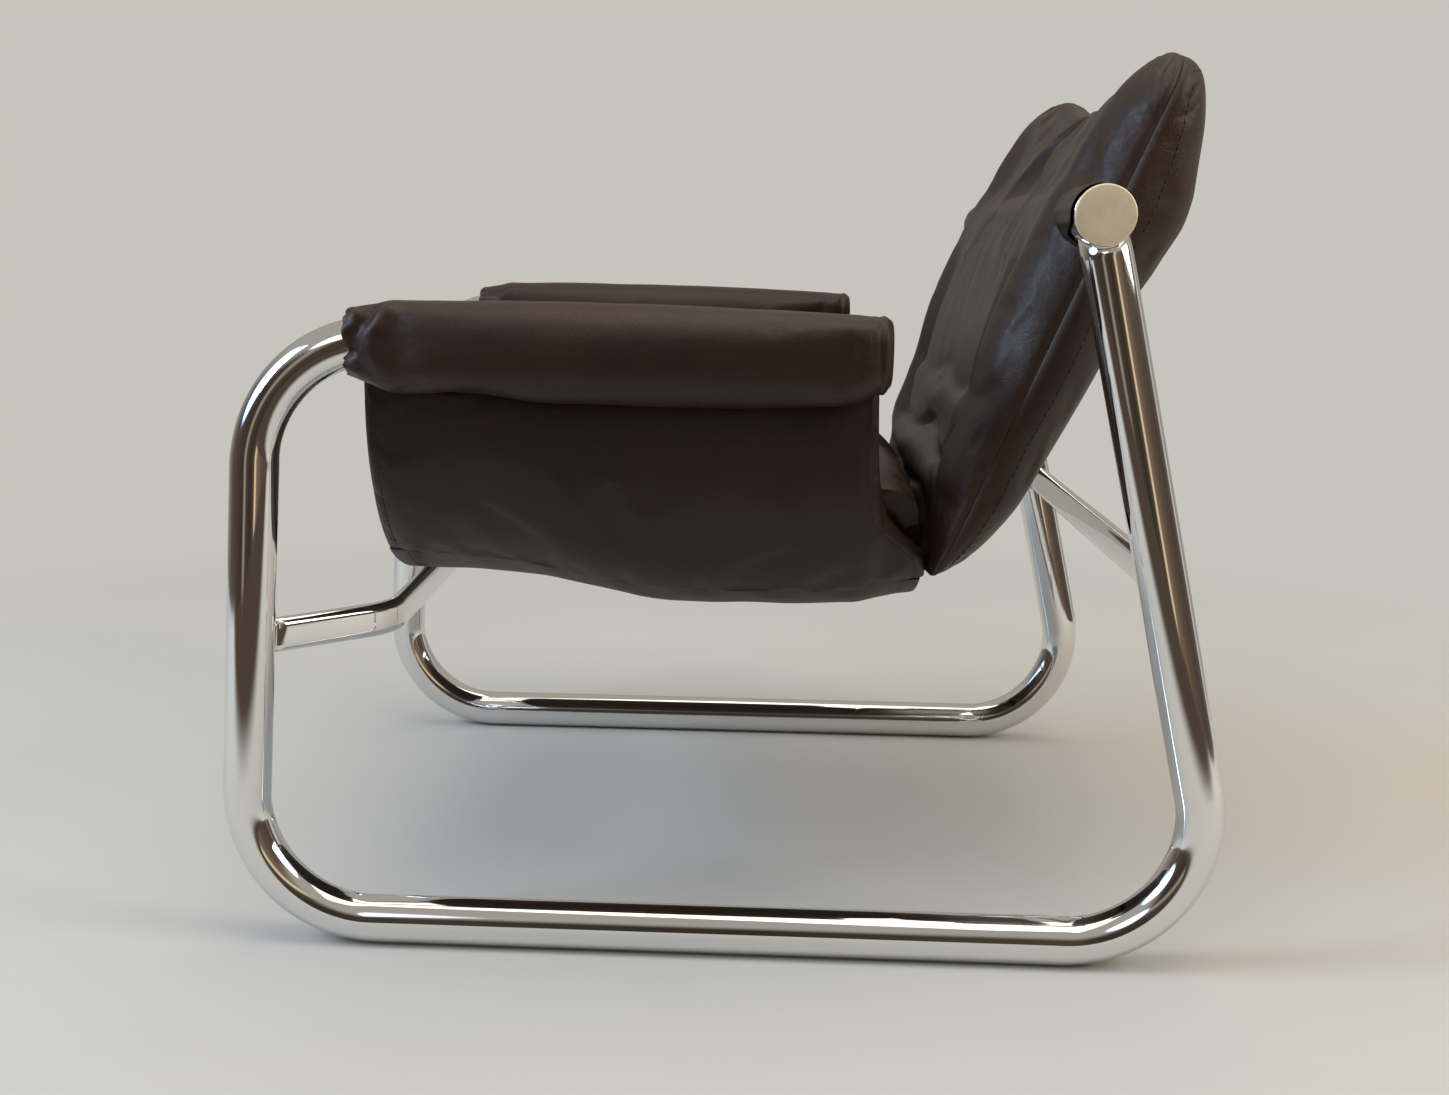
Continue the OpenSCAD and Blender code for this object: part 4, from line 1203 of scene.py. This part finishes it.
def rail_collar(trees, side, word):
    """A short gathered collar from the back's skin out to the side frame, its free edge rolled in."""
    count = 90
    radius, far, no_hit = RAIL_R + 1.7, 0.345, 285.0
    frame_side, most_lap = 303.5, 34.0
    xs = []
    for c, s in circle(count):
        origin = Vector((side * far, (RAIL_Y + radius * c) * MM, (RAIL_Z + radius * s) * MM))
        hits = [tree.ray_cast(origin, Vector((-side, 0, 0)))[0] for tree in trees]
        xs.append(max((side * hit.x / MM for hit in hits if hit is not None), default=no_hit))
    xs = np.array(xs)
    for _ in range(6):
        xs = (np.roll(xs, 1) + 2 * xs + np.roll(xs, -1)) / 4
    verts = []
    # (mm from the skin, or share of the way out; height over the rail)
    rings = [(-6.0, 2.6), (-1.5, 2.3), (1.0, 1.9), (0.35, 1.75), (0.75, 1.8), (0.95, 2.1), (1.0, 1.7),
             (0.985, 0.9), (0.8, 0.5), (0.4, 0.45)]
    for k, (along, lift) in enumerate(rings):
        for j, (c, s) in enumerate(circle(count)):
            a = 2 * math.pi * j / count
            # it laps over the rail in front, and is cut round the leg below
            off_leg = abs((a + math.pi / 2 - REAR_LEAN + math.pi) % (2 * math.pi) - math.pi)
            lap = smooth_step((off_leg - 1.10) / 0.55) * smooth_step((0.35 - c) / 0.6)
            out_x = xs[j] + along if k < 3 else xs[j] + along * (frame_side + most_lap * lap - xs[j])
            r = RAIL_R + lift + (0.35 * math.cos(15 * a) if 1 < k < 6 else 0.0)
            verts.append((side * out_x, RAIL_Y + r * c, RAIL_Z + r * s))
    ob = mesh_piece("rail_collar_" + word, verts, grid_faces(len(rings), count, True), LEATHER)
    face_out(ob.data)
    subdivide(ob)
    place(ob, slot="back_leather")


def back():
    made = {front: back_cover(front) for front in (True, False)}
    trees = [BVHTree.FromPolygons([v.co[:] for v in ob.data.vertices], [p.vertices[:] for p in ob.data.polygons])
             for ob, _ in made.values()]
    for side, word in SIDES:
        rail_collar(trees, side, word)
    for front, (ob, g) in made.items():
        cut_bore(ob)
        place(ob, "back_front_panel" if front else "back_rear_panel", slot="back_leather")
    # sewn row beside the seam, over the top and down both side faces
    ob, g = made[False]
    rows, cols = g.shape[:2]
    n = grid_normals(g, np.array([0, 1, 0]))

    def sew(name, cells):
        line = np.array([on_rail(g[c]) for c in cells])
        stitches(ob, name, line, np.array([on_rail(g[c] + n[c]) for c in cells]) - line)

    sew("back_stitch_top", [(rows - 7, j) for j in range(3, cols - 3)])
    for j, word in ((6, "right"), (cols - 7, "left")):
        clear = np.hypot(g[:, j, 1] + RAIL_AHEAD, g[:, j, 2] - BACK_BELOW) > 31.0
        for upper, part in ((False, "_lower"), (True, "_upper")):
            sew("back_stitch_" + word + part,
                [(i, j) for i in range(12, rows - 9) if clear[i] and (g[i, j, 2] > BACK_BELOW) == upper])


for s, word in SIDES:
    arm_pad(s, word)
for s, word in SIDES:
    side_panel(s, word)
sling()
seat()
back()

# ---------------------------------------------------------------- stage, lights and camera
BACKDROP = (0.57, 0.555, 0.51, 1)
FLOOR_R = 2000.0


def floor_material(color):
    """Pale matte floor that runs into the backdrop's colour away from the chair."""
    m = Look("floor", Roughness=0.9)
    m.feed("Base Color", m.ramp(m.noise(3.0, 5.0), (0.3, tuple(0.97 * c for c in color)), (0.7, color)))
    light_path = m.nt.nodes.new("ShaderNodeLightPath")
    far = node(m.nt, "ShaderNodeVectorMath", operation="LENGTH")
    m.link(m.at, far.inputs[0])
    seen = times(m.nt, light_path.outputs["Is Camera Ray"], ease(m.nt, far.outputs["Value"], 0.9, 1.95))
    glow = node(m.nt, "ShaderNodeEmission", Color=BACKDROP)
    surface = mix_shader(m.nt, seen, m.bsdf.outputs[0], glow.outputs[0])
    # painted reflection: on one side, where the pale floor ends, glossy rays see a dark warm emission in place of the
    # floor, so the metal mirrors a dark patch that the camera never sees
    apart = m.nt.nodes.new("ShaderNodeSeparateXYZ")
    m.link(m.at, apart.inputs[0])
    glossy_dark_side = times(m.nt, light_path.outputs["Is Glossy Ray"], ease(m.nt, apart.outputs["X"], 0.72, 1.05))
    reflected_dark_glow = node(m.nt, "ShaderNodeEmission", Color=(0.085, 0.062, 0.047, 1))
    surface = mix_shader(m.nt, glossy_dark_side, surface, reflected_dark_glow.outputs[0])
    m.link(surface, m.nt.nodes["Material Output"].inputs["Surface"])
    return m.material


floor = mesh_piece("floor", [(FLOOR_R * c, FLOOR_R * s, 0) for c, s in circle(72)], [tuple(range(72))],
                   floor_material((0.60, 0.575, 0.53)), smooth=False)

world = bpy.data.worlds.new("studio")
bpy.context.scene.world = world
world.use_nodes = True
wn = world.node_tree
link = wn.links.new
direction = wn.nodes.new("ShaderNodeTexCoord").outputs["Generated"]
sep = wn.nodes.new("ShaderNodeSeparateXYZ")
link(direction, sep.inputs[0])
azimuth = node(wn, "ShaderNodeMath", operation="ARCTAN2")
link(sep.outputs["Y"], azimuth.inputs[0])
link(sep.outputs["X"], azimuth.inputs[1])
turn = wn.nodes.new("ShaderNodeMapRange")
turn.inputs["From Min"].default_value = -math.pi
turn.inputs["From Max"].default_value = math.pi
link(azimuth.outputs[0], turn.inputs["Value"])
# round the chair, in degrees: pale walls behind it, a dark warm room with a few bright gaps on the camera's side
AROUND = [(-180, 0.48, 0.45, 0.40), (-140, 0.46, 0.44, 0.40), (-115, 0.26, 0.22, 0.18), (-96, 0.13, 0.10, 0.08),
          (-62, 0.09, 0.065, 0.05), (-36, 0.06, 0.045, 0.035), (-27, 0.50, 0.44, 0.36), (-20, 0.10, 0.07, 0.05),
          (0, 0.05, 0.04, 0.03), (14, 0.12, 0.09, 0.06), (20, 1.30, 1.05, 0.70), (26, 0.30, 0.21, 0.13),
          (48, 0.16, 0.11, 0.08), (80, 0.10, 0.075, 0.06), (104, 0.16, 0.13, 0.11), (112, 0.90, 0.86, 0.78),
          (124, 0.40, 0.37, 0.33), (150, 0.52, 0.50, 0.46), (180, 0.48, 0.45, 0.40)]
walls = ramp(wn, turn.outputs["Result"], [((deg + 180) / 360, rgb) for deg, *rgb in AROUND])


def lobe(value, low, high, color, under):
    """Mixes a colour in where value rises from low to high."""
    mix = node(wn, "ShaderNodeMix", data_type="RGBA")
    link(ease(wn, value, low, high), mix.inputs["Factor"])
    link(under, mix.inputs["A"])
    mix.inputs["B"].default_value = (*color, 1)
    return mix.outputs["Result"]


def towards(way):
    dot = node(wn, "ShaderNodeVectorMath", operation="DOT_PRODUCT")
    link(direction, dot.inputs[0])
    dot.inputs[1].default_value = Vector(way).normalized()
    return dot.outputs["Value"]


# a ceiling and two windows
sky = lobe(sep.outputs["Z"], 0.30, 0.62, (0.55, 0.52, 0.47), walls)
sky = lobe(towards((0.16, -0.86, 0.42)), 0.945, 0.97, (1.9, 3.0, 5.0), sky)
sky = lobe(towards((0.75, -0.35, 0.55)), 0.975, 0.985, (2.0, 2.3, 2.8), sky)
lit = wn.nodes["Background"]
link(sky, lit.inputs["Color"])
lit.inputs["Strength"].default_value = 0.78
shown = node(wn, "ShaderNodeBackground", Color=BACKDROP, Strength=1.0)
camera_ray = wn.nodes.new("ShaderNodeLightPath").outputs["Is Camera Ray"]
link(mix_shader(wn, camera_ray, lit.outputs[0], shown.outputs[0]), wn.nodes["World Output"].inputs["Surface"])


def add_object(name, data):
    ob = bpy.data.objects.new(name, data)
    bpy.context.scene.collection.objects.link(ob)
    return ob


# soft boxes: place, target, width, watts, colour
LAMPS = {"window_key": ((0.9, -2.4, 1.7), (0, 0, 0.45), 1.1, 35, (0.68, 0.85, 1.0)),
         "top_fill": ((0.2, 0.3, 3.0), (0, 0, 0.3), 2.6, 38, (1.0, 0.91, 0.78)),
         "rear_rim": ((0.8, 2.6, 1.7), (0, 0, 0.5), 1.6, 36, (1.0, 0.95, 0.88))}
for name, (at, target, size, watts, color) in LAMPS.items():
    data = bpy.data.lights.new(name, "AREA")
    data.shape = "RECTANGLE"
    data.size = data.size_y = size
    data.energy = watts
    data.color = color
    lamp = add_object(name, data)
    lamp.location = at
    lamp.rotation_euler = (Vector(target) - Vector(at)).to_track_quat("-Z", "Y").to_euler()

# the camera, as fitted to the photograph
CAMERA_AT = (1.6478, 0.0265, 0.5537)
YAW, PITCH, ROLL = 0.0631, 0.1634, 0.0092
data = bpy.data.cameras.new("camera")
data.sensor_width = 36.0
data.lens = 43.594
data.shift_x, data.shift_y = 0.0544, -0.0091
data.clip_start, data.clip_end = 0.05, 50
cam = add_object("camera", data)
bpy.context.scene.camera = cam
fwd = Vector((-math.cos(PITCH) * math.cos(YAW), -math.cos(PITCH) * math.sin(YAW), -math.sin(PITCH)))
level = fwd.cross(Vector((0, 0, 1))).normalized()
above = level.cross(fwd)
right = math.cos(ROLL) * level + math.sin(ROLL) * above
up = -math.sin(ROLL) * level + math.cos(ROLL) * above
cam.matrix_world = Matrix([(right[k], up[k], -fwd[k], CAMERA_AT[k]) for k in range(3)] + [(0, 0, 0, 1)])
bpy.context.scene.view_settings.view_transform = "Standard"
